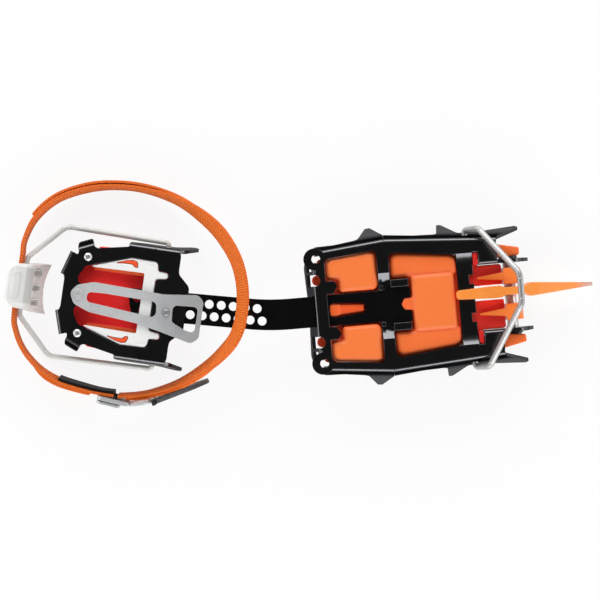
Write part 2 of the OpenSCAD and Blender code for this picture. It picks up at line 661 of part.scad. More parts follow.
// Heel frame: folded sheet with a window, side prongs, rear points and a keeper under the bar
heel_rear_u = -66.6;
heel_wide_u = -26;
rear_tab = [[-67.4, 12], [-62.6, 28]];
corner_tab = [[-59.4, 29.6], [-49.2, 34]];
heel_window = [[-50, 7, 2], [-57.3, 8, 3], [-57.3, 13, 4], [-53.5, 19.8, 4], [-46.8, 22, 6], [-23, 30.1, 4],
    [-4.6, 29.8, 3], [-3.6, 23.6, 1], [heel_slot[1], 23.2, 2], [heel_slot[1], 18.4, 2],
    [heel_slot[0], 17.4, 2]];

module heel_sheet() {
    half = [[heel_rear_u, 0, 0], [heel_rear_u, 9.6, 2], [rear_tab[0][0], rear_tab[0][1], 0],
        [rear_tab[1][0], rear_tab[1][1], 0], [-59.4, 26.8, 1], [corner_tab[0][0], corner_tab[0][1], 0],
        [corner_tab[1][0], corner_tab[1][1], 0], [-47, 33, 2], [heel_wide_u, heel_half, 0],
        [heel_front_u - 0.5, heel_half, 0], [heel_front_u, heel_half - 2, 0.8],
        [heel_front_u, heel_lug_v + 5, 5], [heel_lug_u, heel_lug_v - 3, 5], [heel_lug_u, 0, 0]];
    difference() {
        polygon(rounded(both_halves(half)));
        polygon(rounded(both_halves(heel_window)));
    }
}

module heel_side() {
    long = heel_front_u - 1 - heel_wide_u;
    tip = long + 10;
    reach = bend_z / cos(heel_lean);
    flange([heel_wide_u, heel_half], [heel_front_u - 1, heel_half], heel_lean)
        polygon(rounded([[0, 0, 0], [long, 0, 0], [long + 3, -2, 3], [tip + 1, -reach + 4, 2],
            [tip - 2, -reach, 1.2],
            [tip - 5, -reach + 2, 2], [long - 5, -heel_flange_h, 10], [8, -heel_flange_h + 2, 12],
            [0, -heel_flange_h + 5, 3]]));
}

module heel_rear_point() {
    long = norm(rear_tab[1] - rear_tab[0]);
    lean = 3;
    flange(rear_tab[0], rear_tab[1], lean)
        polygon(rounded([[0, 0, 0], [long, 0, 0], [long - 1, -8, 3], [long - 5, -bend_z / cos(lean), 1.2],
            [long - 8, -bend_z / cos(lean), 1.2], [4, -12, 5], [0, -8, 3]]));
}

module heel_corner_tab() {
    long = norm(corner_tab[1] - corner_tab[0]);
    deep = 9.5;
    flange(corner_tab[0], corner_tab[1], 24) difference() {
        polygon(rounded([[0, 0, 0], [long, 0, 0], [long - 0.6, -deep, 2], [0.6, -deep, 2]]));
        for (i = [1:4]) translate([i * long / 5 - 0.5, 2 - deep]) square([1, 5]);
    }
}

module heel_frame() {
    keeper_half = bar_w / 2 + 2;
    hole = pin_d + 2.4;
    color("#24262a") at_heel() difference() {
        union() {
            slab(bend_z, sole_h) heel_sheet();
            both_sides() {
                heel_side();
                heel_rear_point();
                heel_corner_tab();
            }
            slab(bar_z - slip - sheet, bend_z) for (side = [-1, 1])
                translate([-3, side * (keeper_half + sheet / 2) - sheet / 2]) square([12, sheet]);
            slab(bar_z - slip - sheet, bar_z - slip)
                translate([-3, -keeper_half - sheet]) square([12, 2 * (keeper_half + sheet)]);
        }
        translate([pin_at[0], pin_at[1], bend_z - 1]) cylinder(d = hole, h = sheet + 2);
        translate([0, 0, heel_pivot_z]) rotate([90, 0, 0])
            cylinder(d = heel_wire_d + 2 * run_fit, h = 120, center = true);
        for (side = [-1, 1]) translate([screw_at[0], side * screw_at[1], bend_z - 1])
            cylinder(d = screw_d + 0.4, h = sheet + 2);
        translate([rivet_at[0], rivet_at[1], bend_z - 1]) cylinder(d = 4, h = sheet + 2);
        for (u = seat_ends) both_sides() slab(sole_h - seat_score[1], sole_h + 1)
            translate([u, 21]) square([seat_score[0], 24]);
    }
}

// Plate under the heel that sheds snow, with a boss for each screw
module heel_antisnow() {
    top = bar_z - slip - sheet;
    half = [[-62, 0, 0], [-62, 10, 3], [-57, 24, 3], [-46, 34.6, 3], [heel_wide_u, heel_half - 1.5, 0],
        [heel_front_u - 2, heel_half - 1.5, 4], [heel_front_u + 2, 12, 6], [heel_front_u + 2, 0, 0]];
    side_pad = [[-49, 18.4, 1], [-47, 21, 1], [-24, 28, 3], [-8, 28, 3], [-8, 18.4, 1]];
    color("#d8452c") at_heel() difference() {
        union() {
            slab(top - snow_plate_t, top) polygon(rounded(both_halves(half)));
            both_sides() swell(side_pad, top - eps, bend_z - guide_drop - 0.5, 1);
            both_sides() slab(bend_z - guide_drop - 1, sole_h - 0.8) hook_outline(slip + 0.1);
            for (side = [-1, 1]) translate([screw_at[0], side * screw_at[1],
                top]) cylinder(d = 9, h = bend_z - top);
        }
        for (side = [-1, 1]) translate([screw_at[0], side * screw_at[1], top - 4]) cylinder(d = 5, h = 14);
    }
}

// Hooks of the lower plate that come up through the guide plate, each corner with its way inwards
module hook_outline(gap) {
    corners = [[-36.5, 24.1, 0.4, 4.5, 1.5], [-26.7, 27.6, 3, 0.2, -1], [-22, 28.6, 2, 0, -1],
        [-18.8, 27.9, 1.5, -0.7, -1],
        [-17.4, 23.3, 1, -1.2, 1], [-20.3, 23.6, 0.8, 0.4, 1.1], [-22, 25.3, 1.2, 0.3, 1],
        [-28, 25.3, 3, 0, 1]];
    polygon(rounded([for (c = corners) [c[0] + gap * c[3], c[1] + gap * c[4], c[2]]]));
}

// Plate that fills the front and sides of the heel's window and lies over the bar
module heel_guide_plate() {
    inner = [[-60, 0, 0], [-60, 20, 0], [-50.6, 20, 0], [-13, 20.7, 1], [-13, 0, 0]];
    rim = [[-44, 26.2, 1], [-24, 33, 3], [-6.5, 33, 2], [-6.5, bar_w / 2 + 6, 1], [-44, bar_w / 2 + 6, 1]];
    dimple = [[-11, 27.6, 1], [-5.8, 28.4, 1], [-5.8, 26, 1], [-11, 25.4, 1]];
    color("#f1f1ee") at_heel() difference() {
        union() {
            slab(bend_z, sole_h - 0.6) difference() {
                fitted_window();
                polygon(rounded(both_halves(inner)));
                translate([-60, -40]) square([11, 80]);
            }
            both_sides() slab(bend_z - guide_drop, bend_z) difference() {
                polygon(rounded(rim));
                polygon(rounded(both_halves(inner)));
            }
        }
        both_sides() {
            slab(bend_z - guide_drop - 1, sole_h) hook_outline(0);
            slab(sole_h - 1.1, sole_h) polygon(rounded(dimple));
        }
    }
}
module fitted_window() {
    g = slip;
    polygon(rounded(both_halves([[-50 + g, 7 + g, 1], [-55 + g, 9, 3], [-53.5 + g, 19.8 - g, 4],
        [-46.8, 22 - g, 6],
        [-23, 30.1 - g, 4], [-4.6 - g, 29.8 - g, 3], [-3.6 - g, 23.6 - g, 1], [heel_slot[1] - g, 23.2 - g, 2],
        [heel_slot[1] - g, 18.4 + g, 2], [heel_slot[0] - g, 17.4 + g, 2]])));
}

module heel_screws() {
    color("#dadde0") at_heel() for (side = [-1, 1]) translate([screw_at[0], side * screw_at[1],
        0]) difference() {
        union() {
            translate([0, 0, sole_h]) rotate_extrude()
                polygon([[0, 0], [screw_head_d / 2, 0], [screw_head_d / 2 - 0.4, 1],
                    [screw_head_d / 2 - 1.4, 1.6], [0, 1.6]]);
            translate([0, 0, bar_z - 4]) cylinder(d = screw_d, h = sole_h - bar_z + 4);
        }
        for (a = [0, 90]) translate([0, 0, sole_h + 1.2]) rotate(a) cube([3.4, 0.8, 1.2], center = true);
    }
}
module screw_inserts() {
    z = bar_z - slip - sheet - snow_plate_t;
    color("#c9a55a") at_heel() for (side = [-1, 1]) translate([screw_at[0], side * screw_at[1],
        z]) difference() {
        cylinder(d = 5, h = bend_z - z - 1);
        translate([0, 0, -1]) cylinder(d = screw_d, h = 20);
    }
}

// Sizing spring: a forked leaf riveted at the rear, with a finger window at the front
spring_z = sole_h + slip;
spring_neck_u = -46;
module spring_leaf() {
    outline = [[-61.4, 1, 5], [-57, 6.4, 6], [-46, 9.9, 8], [-11, 8.8, 20], [2, 8.2, 20], [25.5, 11.1, 5],
        [29.6, 7, 4],
        [29.8, -18, 4], [25, -22.3, 4], [3, -17.2, 20], [-14.5, -13.8, 20], [-46.6, -10.8, 8],
        [-57.7, -6.6, 5]];
    fork = [[-49.5, 2.6, 3], [-38, 3.2, 10], [-2, 2.4, 3.5], [-1, -8.6, 3.5], [-12, -7.4, 8], [-49.5, -4, 3]];
    window = [[9.4, 1.8, 3], [26.5, 3, 3], [26.3, -15, 3], [20, -14, 4], [10, -9.6, 3]];
    difference() {
        polygon(rounded(outline));
        polygon(rounded(fork));
        polygon(rounded(window));
    }
}
module spring_root() {
    color("#b9bdbd") at_heel() difference() {
        slab(spring_z, spring_z + spring_t) intersection() {
            spring_leaf();
            translate([-80, -40]) square([80 + spring_neck_u - slip / 2, 80]);
        }
        translate([rivet_at[0], rivet_at[1], spring_z - 1]) cylinder(d = 4, h = spring_t + 2);
    }
}
module size_spring() {
    color("#b9bdbd") at_heel() difference() {
        slab(spring_z, spring_z + spring_t) intersection() {
            spring_leaf();
            translate([spring_neck_u + slip / 2, -40]) square([120, 80]);
        }
        translate([pin_at[0], pin_at[1], spring_z - 1]) cylinder(d = pin_d - 1.6, h = spring_t + 2);
    }
}
module spring_rivet() {
    color("#c4c8ca") at_heel() translate([rivet_at[0], rivet_at[1], 0]) {
        translate([0, 0, bend_z]) cylinder(d = 4, h = spring_z + spring_t - bend_z);
        translate([0, 0, sole_h]) cylinder(d = 8, h = slip);
        translate([0, 0, spring_z + spring_t]) rotate_extrude()
            polygon([[0, 0], [4, 0], [3.6, 0.7], [2.6, 1.1], [1.8, 1.1], [1.2, 0.6], [0, 0.5]]);
    }
}
module size_pin() {
    color("#d2d5d7") at_heel() translate([pin_at[0], pin_at[1], 0]) {
        translate([0, 0, bar_top - pin_reach]) rotate_extrude()
            polygon([[0, 0], [pin_d / 2 - 0.6, 0], [pin_d / 2, 0.6],
                [pin_d / 2, spring_z - bar_top + pin_reach],
                [pin_d / 2 - 0.8, spring_z - bar_top + pin_reach],
                [pin_d / 2 - 0.8, spring_z + spring_t - bar_top + pin_reach],
                [0, spring_z + spring_t - bar_top + pin_reach]]);
        translate([0, 0, spring_z + spring_t]) rotate_extrude()
            polygon([[0, 0], [pin_d / 2, 0], [pin_d / 2 - 0.3, 0.8], [pin_d / 2 - 1.2, 1.5], [0, 1.9]]);
    }
}

// Heel bail: one bent wire from the heel's pivots to the lever
module heel_bail() {
    inner = heel_half - 1.2;
    flare = 1.4;
    bend_u = -heel_bail_l + 24;
    axis_half = 20;
    color("#c3c7ca") at_heel() translate([0, 0, heel_pivot_z]) rotate([0, -bail_pitch, 0])
        wire([[0, inner], [0, wire_side], [bend_u, wire_side + flare], [-heel_bail_l, axis_half],
            [-heel_bail_l, -axis_half],
            [bend_u, -wire_side - flare], [0, -wire_side],
            [0, -inner]], heel_wire_d, [0, 2.4, 9, 5, 5, 9, 2.4, 0]);
}

// Heel lever: moulded section crossed with its plan, bored for the bail and slotted for the webbing
module at_lever() {
    at_heel() translate([-heel_bail_l * cos(bail_pitch), 0, lever_z]) rotate([0, lever_tilt, 0]) children();
}
module heel_lever() {
    section = [[-17.5, 6.5, 1.5], [-12, 3.6, 12], [-3, 3.8, 3], [2, 4.2, 6], [12, 2.6, 12], [21.5, 1.8, 1.2],
        [21.8, -2.4, 1.2], [16, -6, 6], [10.4, -13, 3.5], [3.4, -14.6, 3], [-3, -9.4, 6], [-9, -4.6, 6],
        [-17, 3.6, 1.5]];
    w = lever_w / 2;
    e = lever_edge_w / 2;
    plan = [[-18, 10, 7], [-10, w - 0.6, 6], [-4, w, 4], [8, w, 6], [14, e - 0.4, 5], [22, e, 2]];
    dish = [[-15.6, 7.5, 3], [-5.4, w - 4.6, 3]];
    pocket = [[5.4, 2.5, 1], [12.2, 2.7, 1]];
    color("#efefec") at_lever() difference() {
        intersection() {
            rotate([90, 0, 0]) linear_extrude(60, center = true) polygon(rounded(section, 6));
            slab(-20, 20) polygon(rounded(both_halves(plan), 6));
        }
        rotate([90, 0, 0]) cylinder(d = heel_wire_d + 2 * run_fit, h = 80, center = true);
        translate([50.5, 0, -20]) cylinder(r = 35, h = 40, $fn = 96);
        strap_slot();
        slab(2.8, 12) polygon(rounded(both_halves(dish)));
        for (v = [-10.2, 0, 10.2]) slab(1, 10) translate([0, v]) polygon(rounded(both_halves(pocket)));
    }
}
module strap_slot() {
    rotate([0, 90 - lever_tilt, 0]) translate([slot_drop, 0, -slot_off])
        cube([strap_w + slot_play, 80, strap_t + slot_play], center = true);
}

// Webbing: a flat band swept along its route, with its top edge leaning away from the loop
function spline(pts, i, t) =
    let (n = len(pts) - 1, a = pts[max(i - 1, 0)], b = pts[i], c = pts[min(i + 1, n)], d = pts[min(i + 2, n)])
    0.5 * (2 * b + (c - a) * t + (2 * a - 5 * b + 4 * c - d) * t * t + (3 * b - a - 3 * c + d) * t * t * t);
function smooth_route(pts, steps) = concat(
    [for (i = [0:len(pts) - 2], k = [0:steps - 1]) spline(pts, i, k / steps)], [pts[len(pts) - 1]]);
function tangent(p, i) = unit(place(p[min(i + 1, len(p) - 1)] - p[max(i - 1, 0)]));
function ring(p, i, w, t, off) =
    let (dir = tangent(p, i), left = unit(cross([0, 0, 1], dir)), up = cross(dir, left))
    let (lean = strap_lean * p[i][3], wide = cos(lean) * up + sin(lean) * left)
    let (thin = cross(wide, dir), c = place(p[i]) + off * thin)
    [for (q = [[-1, -1], [1, -1], [1, 1], [-1, 1]]) c + q[0] * wide * w / 2 + q[1] * thin * t / 2];
module band(p, w, t, off = 0) {
    n = len(p);
    rings = [for (i = [0:n - 1]) each ring(p, i, w, t, off)];
    walls = [for (i = [0:n - 2], k = [0:3]) let (a = 4 * i + k, b = 4 * i + (k + 1) % 4)
        each [[a, b, a + 4], [b, b + 4, a + 4]]];
    last = 4 * (n - 1);
    polyhedron(rings, concat(walls, [[0, 3, 2], [0, 2, 1], [last, last + 1, last + 2],
        [last, last + 2, last + 3]]));
}
strap_rings = smooth_route(strap_route, ring_steps);

module ankle_strap() {
    color("#f3803c") band(strap_rings, strap_w, strap_t);
}
module strap_keeper() {
    keeper = [for (i = [0:3 * ring_steps]) strap_rings[i]];
    color("#1d1e20") band(keeper, strap_w - 4, strap_t, -strap_t - slip);
}

// Buckle: a slotted plate on the webbing's ends, a wire loop on it, and a tab to pull it open
plate_t = 2.8;
plate_x = [-11, 11];
cover_t = 1.8;
cover_gap = 0.9;
cover_end = 5.5;
loop_d = 2.6;
loop_l = 12.8;
buckle_turn = -5;
loop_turn = 22;
tab_turn = 13;
tab_l = 42;
tab_off = 1.2;
plate_off = strap_t / 2 + slip / 2 + plate_t / 2;
// Along the webbing to the right, across it upwards, and out of the loop
module at_buckle(off) {
    e = unit(place(strap_route[0] - strap_route[1]));
    out = unit(cross(e, [0, 0, 1]));
    lean = strap_lean * strap_route[0][3];
    up = cos(lean) * [0, 0, 1] + sin(lean) * out;
    face = cross(e, up);
    c = place(strap_route[0]) + off * face;
    multmatrix([for (k = [0:2]) [e[k], up[k], face[k], c[k]]])
        translate([plate_x[0], 0, 0]) rotate([0, buckle_turn, 0]) translate([-plate_x[0], 0, 0]) children();
}
module upright(t) translate([0, 0, -t / 2]) linear_extrude(t) children();

// The plate is folded into two layers, joined by a web near the loop
module buckle_plate() {
    h = strap_w / 2 + 1.4;
    x = plate_x;
    color("#c9ccce") at_buckle(plate_off) {
        upright(plate_t) difference() {
            polygon(rounded([[x[0], -h, 3], [x[1], -h, 2], [x[1], h, 2], [x[0], h, 3]]));
            for (m = [-7, 1])
                polygon(rounded([[m - 1.8, 2 - h, 1], [m + 1.8, 2 - h, 1], [m + 1.8, h - 2, 1],
                    [m - 1.8, h - 2, 1]]));
        }
        translate([0, 0, plate_t / 2 + cover_gap + cover_t / 2]) upright(cover_t)
            polygon(rounded([[x[0], 1 - h, 3], [cover_end, 1 - h, 1.5], [cover_end, h - 1, 1.5],
                [x[0], h - 1, 3]]));
        translate([cover_end - 1.2, 0, plate_t / 2 + cover_gap / 2])
            cube([1.6, 2 * h - 8, cover_gap + 0.6], center = true);
    }
}
module at_loop() at_buckle(plate_off)
    translate([plate_x[1] + slip / 2 + loop_d / 2, 0, 0]) rotate([0, loop_turn, 0]) children();
module buckle_loop() {
    h = strap_w / 2 + 0.2;
    color("#d6d9db") at_loop()
        wire([[0, 0], [0, h], [loop_l, h], [loop_l, -h], [0, -h], [0, 0]], loop_d, [0, 3, 3, 3, 3, 0]);
}
module at_tab() at_loop()
    translate([loop_l + loop_d / 2 + 2 * slip, 0, tab_off]) rotate([0, tab_turn, 0]) children();
module pull_tab() {
    color("#202124") at_tab() difference() {
        upright(2.8) polygon(rounded([[3 + slip, -7, 1], [tab_l - 12, -8, 6], [tab_l, -4, 4],
            [tab_l, 4, 4], [tab_l - 12, 8, 6], [3 + slip, 7, 1]]));
        upright(6) polygon(rounded([[tab_l - 10, -2, 1.5], [tab_l - 4, -1.5, 1.2], [tab_l - 4, 1.5, 1.2],
            [tab_l - 10, 2, 1.5]]));
        for (i = [0:5], side = [-1, 1]) translate([10 + 3.4 * i, 0, side * 1.6]) cube([1.6, 12, 1.2],
            center = true);
    }
}
module tab_collar() {
    color("#b4b8ba") at_tab() upright(3.6) polygon(rounded([[0, -8.2, 1], [3, -8.2, 1], [3, 8.2, 1],
        [0, 8.2, 1]]));
}

front_frame();
front_antisnow();
front_clip_nubs();
front_point();
point_axle();
axle_head();
axle_nut();
left_spacer();
right_spacer();
toe_bail();
linking_bar();
heel_frame();
heel_antisnow();
heel_guide_plate();
heel_screws();
screw_inserts();
spring_root();
size_spring();
spring_rivet();
size_pin();
heel_bail();
heel_lever();
ankle_strap();
strap_keeper();
buckle_plate();
buckle_loop();
pull_tab();
tab_collar();
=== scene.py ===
"""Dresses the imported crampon: finishes for every solid, woven webbing, stage, lamps and camera."""
import json
import logging
import math
from dataclasses import dataclass, field
from enum import Enum
from typing import Sequence

import bmesh
import bpy
from mathutils import Matrix, Vector
from mathutils.geometry import intersect_line_line_2d

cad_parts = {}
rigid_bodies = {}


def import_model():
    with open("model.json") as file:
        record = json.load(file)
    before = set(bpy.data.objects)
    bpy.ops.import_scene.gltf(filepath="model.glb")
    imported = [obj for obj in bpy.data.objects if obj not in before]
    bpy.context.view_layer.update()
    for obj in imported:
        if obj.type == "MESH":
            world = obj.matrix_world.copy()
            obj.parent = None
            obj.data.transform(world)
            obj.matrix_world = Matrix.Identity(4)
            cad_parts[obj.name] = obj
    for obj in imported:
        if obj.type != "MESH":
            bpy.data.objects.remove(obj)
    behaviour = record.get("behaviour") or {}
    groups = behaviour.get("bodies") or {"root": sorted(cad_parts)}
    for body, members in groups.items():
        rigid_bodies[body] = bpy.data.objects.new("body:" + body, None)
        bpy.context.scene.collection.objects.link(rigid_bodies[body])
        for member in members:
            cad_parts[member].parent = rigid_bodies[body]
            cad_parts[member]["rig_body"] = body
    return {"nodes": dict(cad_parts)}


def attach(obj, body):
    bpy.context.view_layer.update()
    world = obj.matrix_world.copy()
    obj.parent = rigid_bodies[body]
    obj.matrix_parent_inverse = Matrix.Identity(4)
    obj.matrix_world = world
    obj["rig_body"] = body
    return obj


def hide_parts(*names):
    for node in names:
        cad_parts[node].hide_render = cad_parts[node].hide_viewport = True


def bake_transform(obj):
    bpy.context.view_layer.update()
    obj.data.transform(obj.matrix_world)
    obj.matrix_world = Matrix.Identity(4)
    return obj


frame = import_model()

logging.basicConfig(level=logging.INFO, format="%(message)s")
log = logging.getLogger("crampon")

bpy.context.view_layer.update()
MM = 0.001
FRONT_YAW = 4.9
FRONT_AT = Vector((15.3, -4.3, 0.0)) * MM
HEEL_YAW = -8.2
HEEL_AT = Vector((-95.5, -0.7, 0.0)) * MM
LEVER_AT = Vector((-188.8, 13.5, 0.0)) * MM
Colour = tuple[float, float, float]
Span = tuple[float, float]


def directions(yaw: float) -> tuple[Vector, Vector]:
    """The directions along and across a section that is turned by a yaw in degrees."""
    turn = math.radians(yaw)
    return Vector((math.cos(turn), math.sin(turn), 0)), Vector((-math.sin(turn), math.cos(turn), 0))


def share_of(value: float, low: float, high: float) -> float:
    """How far a value has come from low to high, from nothing to one."""
    return min(max((value - low) / (high - low), 0.0), 1.0)


class Side(Enum):
    """Which edge of the webbing a band of stitches keeps to."""

    LOW = -1
    HIGH = 1


class Sock:
    """A shader socket that takes part in Python sums, each sum adding its Math node."""

    def __init__(self, surface: "Surface", out: bpy.types.NodeSocket) -> None:
        """Wraps one output of a node in the surface's tree."""
        self.surface = surface
        self.out = out

    def maths(self, operation: str, *values: "Sock | float") -> "Sock":
        """Adds one Math node.

        Args:
            operation: the Math node's operation.
            values: its inputs in order.

        Returns:
            The node's value.
        """
        return self.surface.node("ShaderNodeMath", {"operation": operation}, dict(enumerate(values)))

    def __add__(self, other: "Sock | float") -> "Sock":
        """The sum."""
        return self.maths("ADD", self, other)

    def __radd__(self, other: float) -> "Sock":
        """The sum, with the number first."""
        return self.maths("ADD", other, self)

    def __sub__(self, other: "Sock | float") -> "Sock":
        """The difference."""
        return self.maths("SUBTRACT", self, other)

    def __rsub__(self, other: float) -> "Sock":
        """The difference, with the number first."""
        return self.maths("SUBTRACT", other, self)

    def __mul__(self, other: "Sock | float") -> "Sock":
        """The product."""
        return self.maths("MULTIPLY", self, other)

    def __rmul__(self, other: float) -> "Sock":
        """The product, with the number first."""
        return self.maths("MULTIPLY", other, self)

    def __truediv__(self, other: "Sock | float") -> "Sock":
        """The quotient."""
        return self.maths("DIVIDE", self, other)

    def above(self, level: float) -> "Sock":
        """One where the value is above a level, and nothing elsewhere."""
        return self.maths("GREATER_THAN", self, level)

    def sine(self) -> "Sock":
        """The sine of the value in radians."""
        return self.maths("SINE", self)

    def size(self) -> "Sock":
        """The value without its sign."""
        return self.maths("ABSOLUTE", self)

    def between(self, low: float, high: float) -> "Sock":
        """A smooth rise from nothing at low to one at high."""
        return self.surface.node(
            "ShaderNodeMapRange",
            {"interpolation_type": "SMOOTHSTEP"},
            {"Value": self, "From Min": low, "From Max": high},
        )


class Surface:
    """One material under construction."""

    def __init__(self, name: str) -> None:
        """Starts a material with a bare Principled shader.

        Args:
            name: the material's name.
        """
        self.material = bpy.data.materials.new(name)
        self.material.use_nodes = True
        self.tree = self.material.node_tree
        self.tree.nodes.clear()
        self.shader = self.tree.nodes.new("ShaderNodeBsdfPrincipled")
        self.output = self.tree.nodes.new("ShaderNodeOutputMaterial")
        self.tree.links.new(self.shader.outputs[0], self.output.inputs[0])

    def node(self, kind: str, settings: dict | None = None, links: dict | None = None, out: int | str = 0) -> Sock:
        """Adds any node.

        Args:
            kind: the node's type.
            settings: properties set first; "stops" gives a ramp's places and colours.
            links: values or sockets for its inputs, by name or number.
            out: the output that is returned.

        Returns:
            The chosen output.
        """
        made = self.tree.nodes.new(kind)
        for key, value in (settings or {}).items():
            if key == "stops":
                self.fill_ramp(made.color_ramp, value)
            else:
                setattr(made, key, value)
        for key, value in (links or {}).items():
            self.plug(made.inputs[key], value)
        return Sock(self, made.outputs[out])

    @staticmethod
    def fill_ramp(ramp: bpy.types.ColorRamp, stops: Sequence[tuple[float, Colour]]) -> None:
        """Sets a ramp's stops.

        Args:
            ramp: the ramp.
            stops: place and colour of each stop, in order.
        """
        while len(ramp.elements) < len(stops):
            ramp.elements.new(1.0)
        for element, (place, colour) in zip(ramp.elements, stops):
            element.position = place
            element.color = (*colour, 1.0)

    def plug(self, socket: bpy.types.NodeSocket, value: "Sock | float | Sequence[float]") -> None:
        """Links a socket or sets its value.

        Args:
            socket: the input.
            value: a socket to link, or a constant.
        """
        if isinstance(value, Sock):
            self.tree.links.new(value.out, socket)
        elif socket.type == "RGBA" and len(value) == 3:
            socket.default_value = (*value, 1.0)
        else:
            socket.default_value = value

    def set(self, **values: "Sock | float | Sequence[float]") -> None:
        """Sets or links the shader's inputs, named with underscores for spaces."""
        for name, value in values.items():
            self.plug(self.shader.inputs[name.replace("_", " ")], value)

    def place(self, scale: Sequence[float] = (1, 1, 1), turn: float = 0.0, move: Sequence[float] = (0, 0, 0)) -> Sock:
        """The piece's own coordinates in metres, turned about Z and stretched.

        Args:
            scale: stretch along each axis.
            turn: turn about Z in degrees.
            move: shift before the turn.

        Returns:
            The coordinates.
        """
        raw = self.node("ShaderNodeTexCoord", out="Object")
        shifted = self.node("ShaderNodeMapping", {"vector_type": "POINT"}, {"Vector": raw, "Location": move})
        return self.node(
            "ShaderNodeMapping",
            {"vector_type": "POINT"},
            {"Vector": shifted, "Rotation": (0, 0, math.radians(turn)), "Scale": scale},
        )

    def axis(self, vector: Sock, which: str) -> Sock:
        """One part of a vector: X, Y or Z."""
        return self.node("ShaderNodeSeparateXYZ", None, {0: vector}, which)

    def noise(self, where: Sock, scale: float, detail: float = 3.0, rough: float = 0.55) -> Sock:
        """Plain noise from nothing to one.

        Args:
            where: the coordinates.
            scale: waves to the metre.
            detail: octaves.
            rough: how strong the fine octaves are.

        Returns:
            The noise.
        """
        links = {"Vector": where, "Scale": scale, "Detail": detail, "Roughness": rough}
        return self.node("ShaderNodeTexNoise", None, links)

    def cells(self, where: Sock, scale: float) -> Sock:
        """Distance to the nearest of scattered points, as on a grained moulding."""
        return self.node("ShaderNodeTexVoronoi", None, {"Vector": where, "Scale": scale})

    def mix(self, first: "Sock | Colour", second: "Sock | Colour", share: "Sock | float") -> Sock:
        """Mixes two colours.

        Args:
            first: the colour where share is nothing.
            second: the colour where share is one.
            share: the factor.

        Returns:
            The mixed colour.
        """
        return self.node("ShaderNodeMix", {"data_type": "RGBA"}, {0: share, 6: first, 7: second}, 2)

    def edges(self, radius: float) -> Sock:
        """How far a normal rounded by a small radius departs from the flat one: high along edges."""
        rounded = self.node("ShaderNodeBevel", {"samples": 6}, {"Radius": radius})
        flat = self.node("ShaderNodeNewGeometry", out="Normal")
        return 1.0 - self.node("ShaderNodeVectorMath", {"operation": "DOT_PRODUCT"}, {0: rounded, 1: flat}, "Value")

    def relief(self, height: Sock, depth: float, strength: float) -> None:
        """Bumps the surface.

        Args:
            height: the relief from nothing to one.
            depth: the relief's depth in metres.
            strength: how strongly it shows.
        """
        links = {"Height": height, "Distance": depth, "Strength": strength}
        self.set(Normal=self.node("ShaderNodeBump", None, links))


class Sky(Surface):
    """The world under construction."""

    def __init__(self, name: str) -> None:
        """Starts a world of that name with a bare Background shader."""
        self.world = bpy.data.worlds.new(name)
        self.world.use_nodes = True
        self.tree = self.world.node_tree
        self.shader = self.tree.nodes["Background"]


@dataclass(frozen=True)
class Finish:
    """A finish that paints one material; its fields are shared by every kind."""

    name: str
    colour: Colour
    roughness: float = 0.4
    edge: float = 0.4 * MM

    def make(self) -> bpy.types.Material:
        """Builds the material."""
        surface = Surface(self.name)
        self.paint(surface)
        return surface.material

    def paint(self, s: Surface) -> None:
        """Paints the surface; each kind has its own way."""
        raise NotImplementedError


@dataclass(frozen=True)
class CoatedSteel(Finish):
    """Black coat over bent sheet, rubbed thin along its edges and sand-blasted towards its points; the edge rub is
    also a painted highlight along the bends.
    """

    worn: Colour = (0.2, 0.205, 0.215)
    wear: float = 1.0
    blasted: Colour = (0.05, 0.052, 0.055)
    blast_z: Span = (15 * MM, 27 * MM)
    ragged: float = 4 * MM
    sheen: Colour = (0.06, 0.06, 0.065)

    def paint(self, s: Surface) -> None:
        """Fine grain in the coat, broad cloudiness in its gloss, rubbed edges that are partly a painted highlight,
        and duller points.
        """
        where = s.place()
        grain = s.noise(where, 2600, 2)
        cloud = s.noise(where, 55, 3)
        # painted highlight in part: the worn colour along the edges is wear, made strong enough to stand for light
        # caught along the bends
        rub = (s.edges(self.edge) * 3.0 * cloud).between(0.2, 1.0) * self.wear
        low = 1.0 - (s.axis(where, "Z") + self.ragged * (cloud - 0.5)).between(*self.blast_z)
        body = s.mix(self.colour, self.blasted, low * (0.45 + 0.55 * grain))
        s.set(
            Base_Color=s.mix(body, self.worn, rub * 0.7),
            Roughness=self.roughness + 0.12 * (cloud - 0.5) + 0.06 * (grain - 0.5) + 0.25 * low,
            Metallic=1.0 - 0.5 * low,
            Specular_Tint=self.sheen,
            Specular_IOR_Level=0.2,
        )
        s.relief(grain, 0.012 * MM, 0.4)


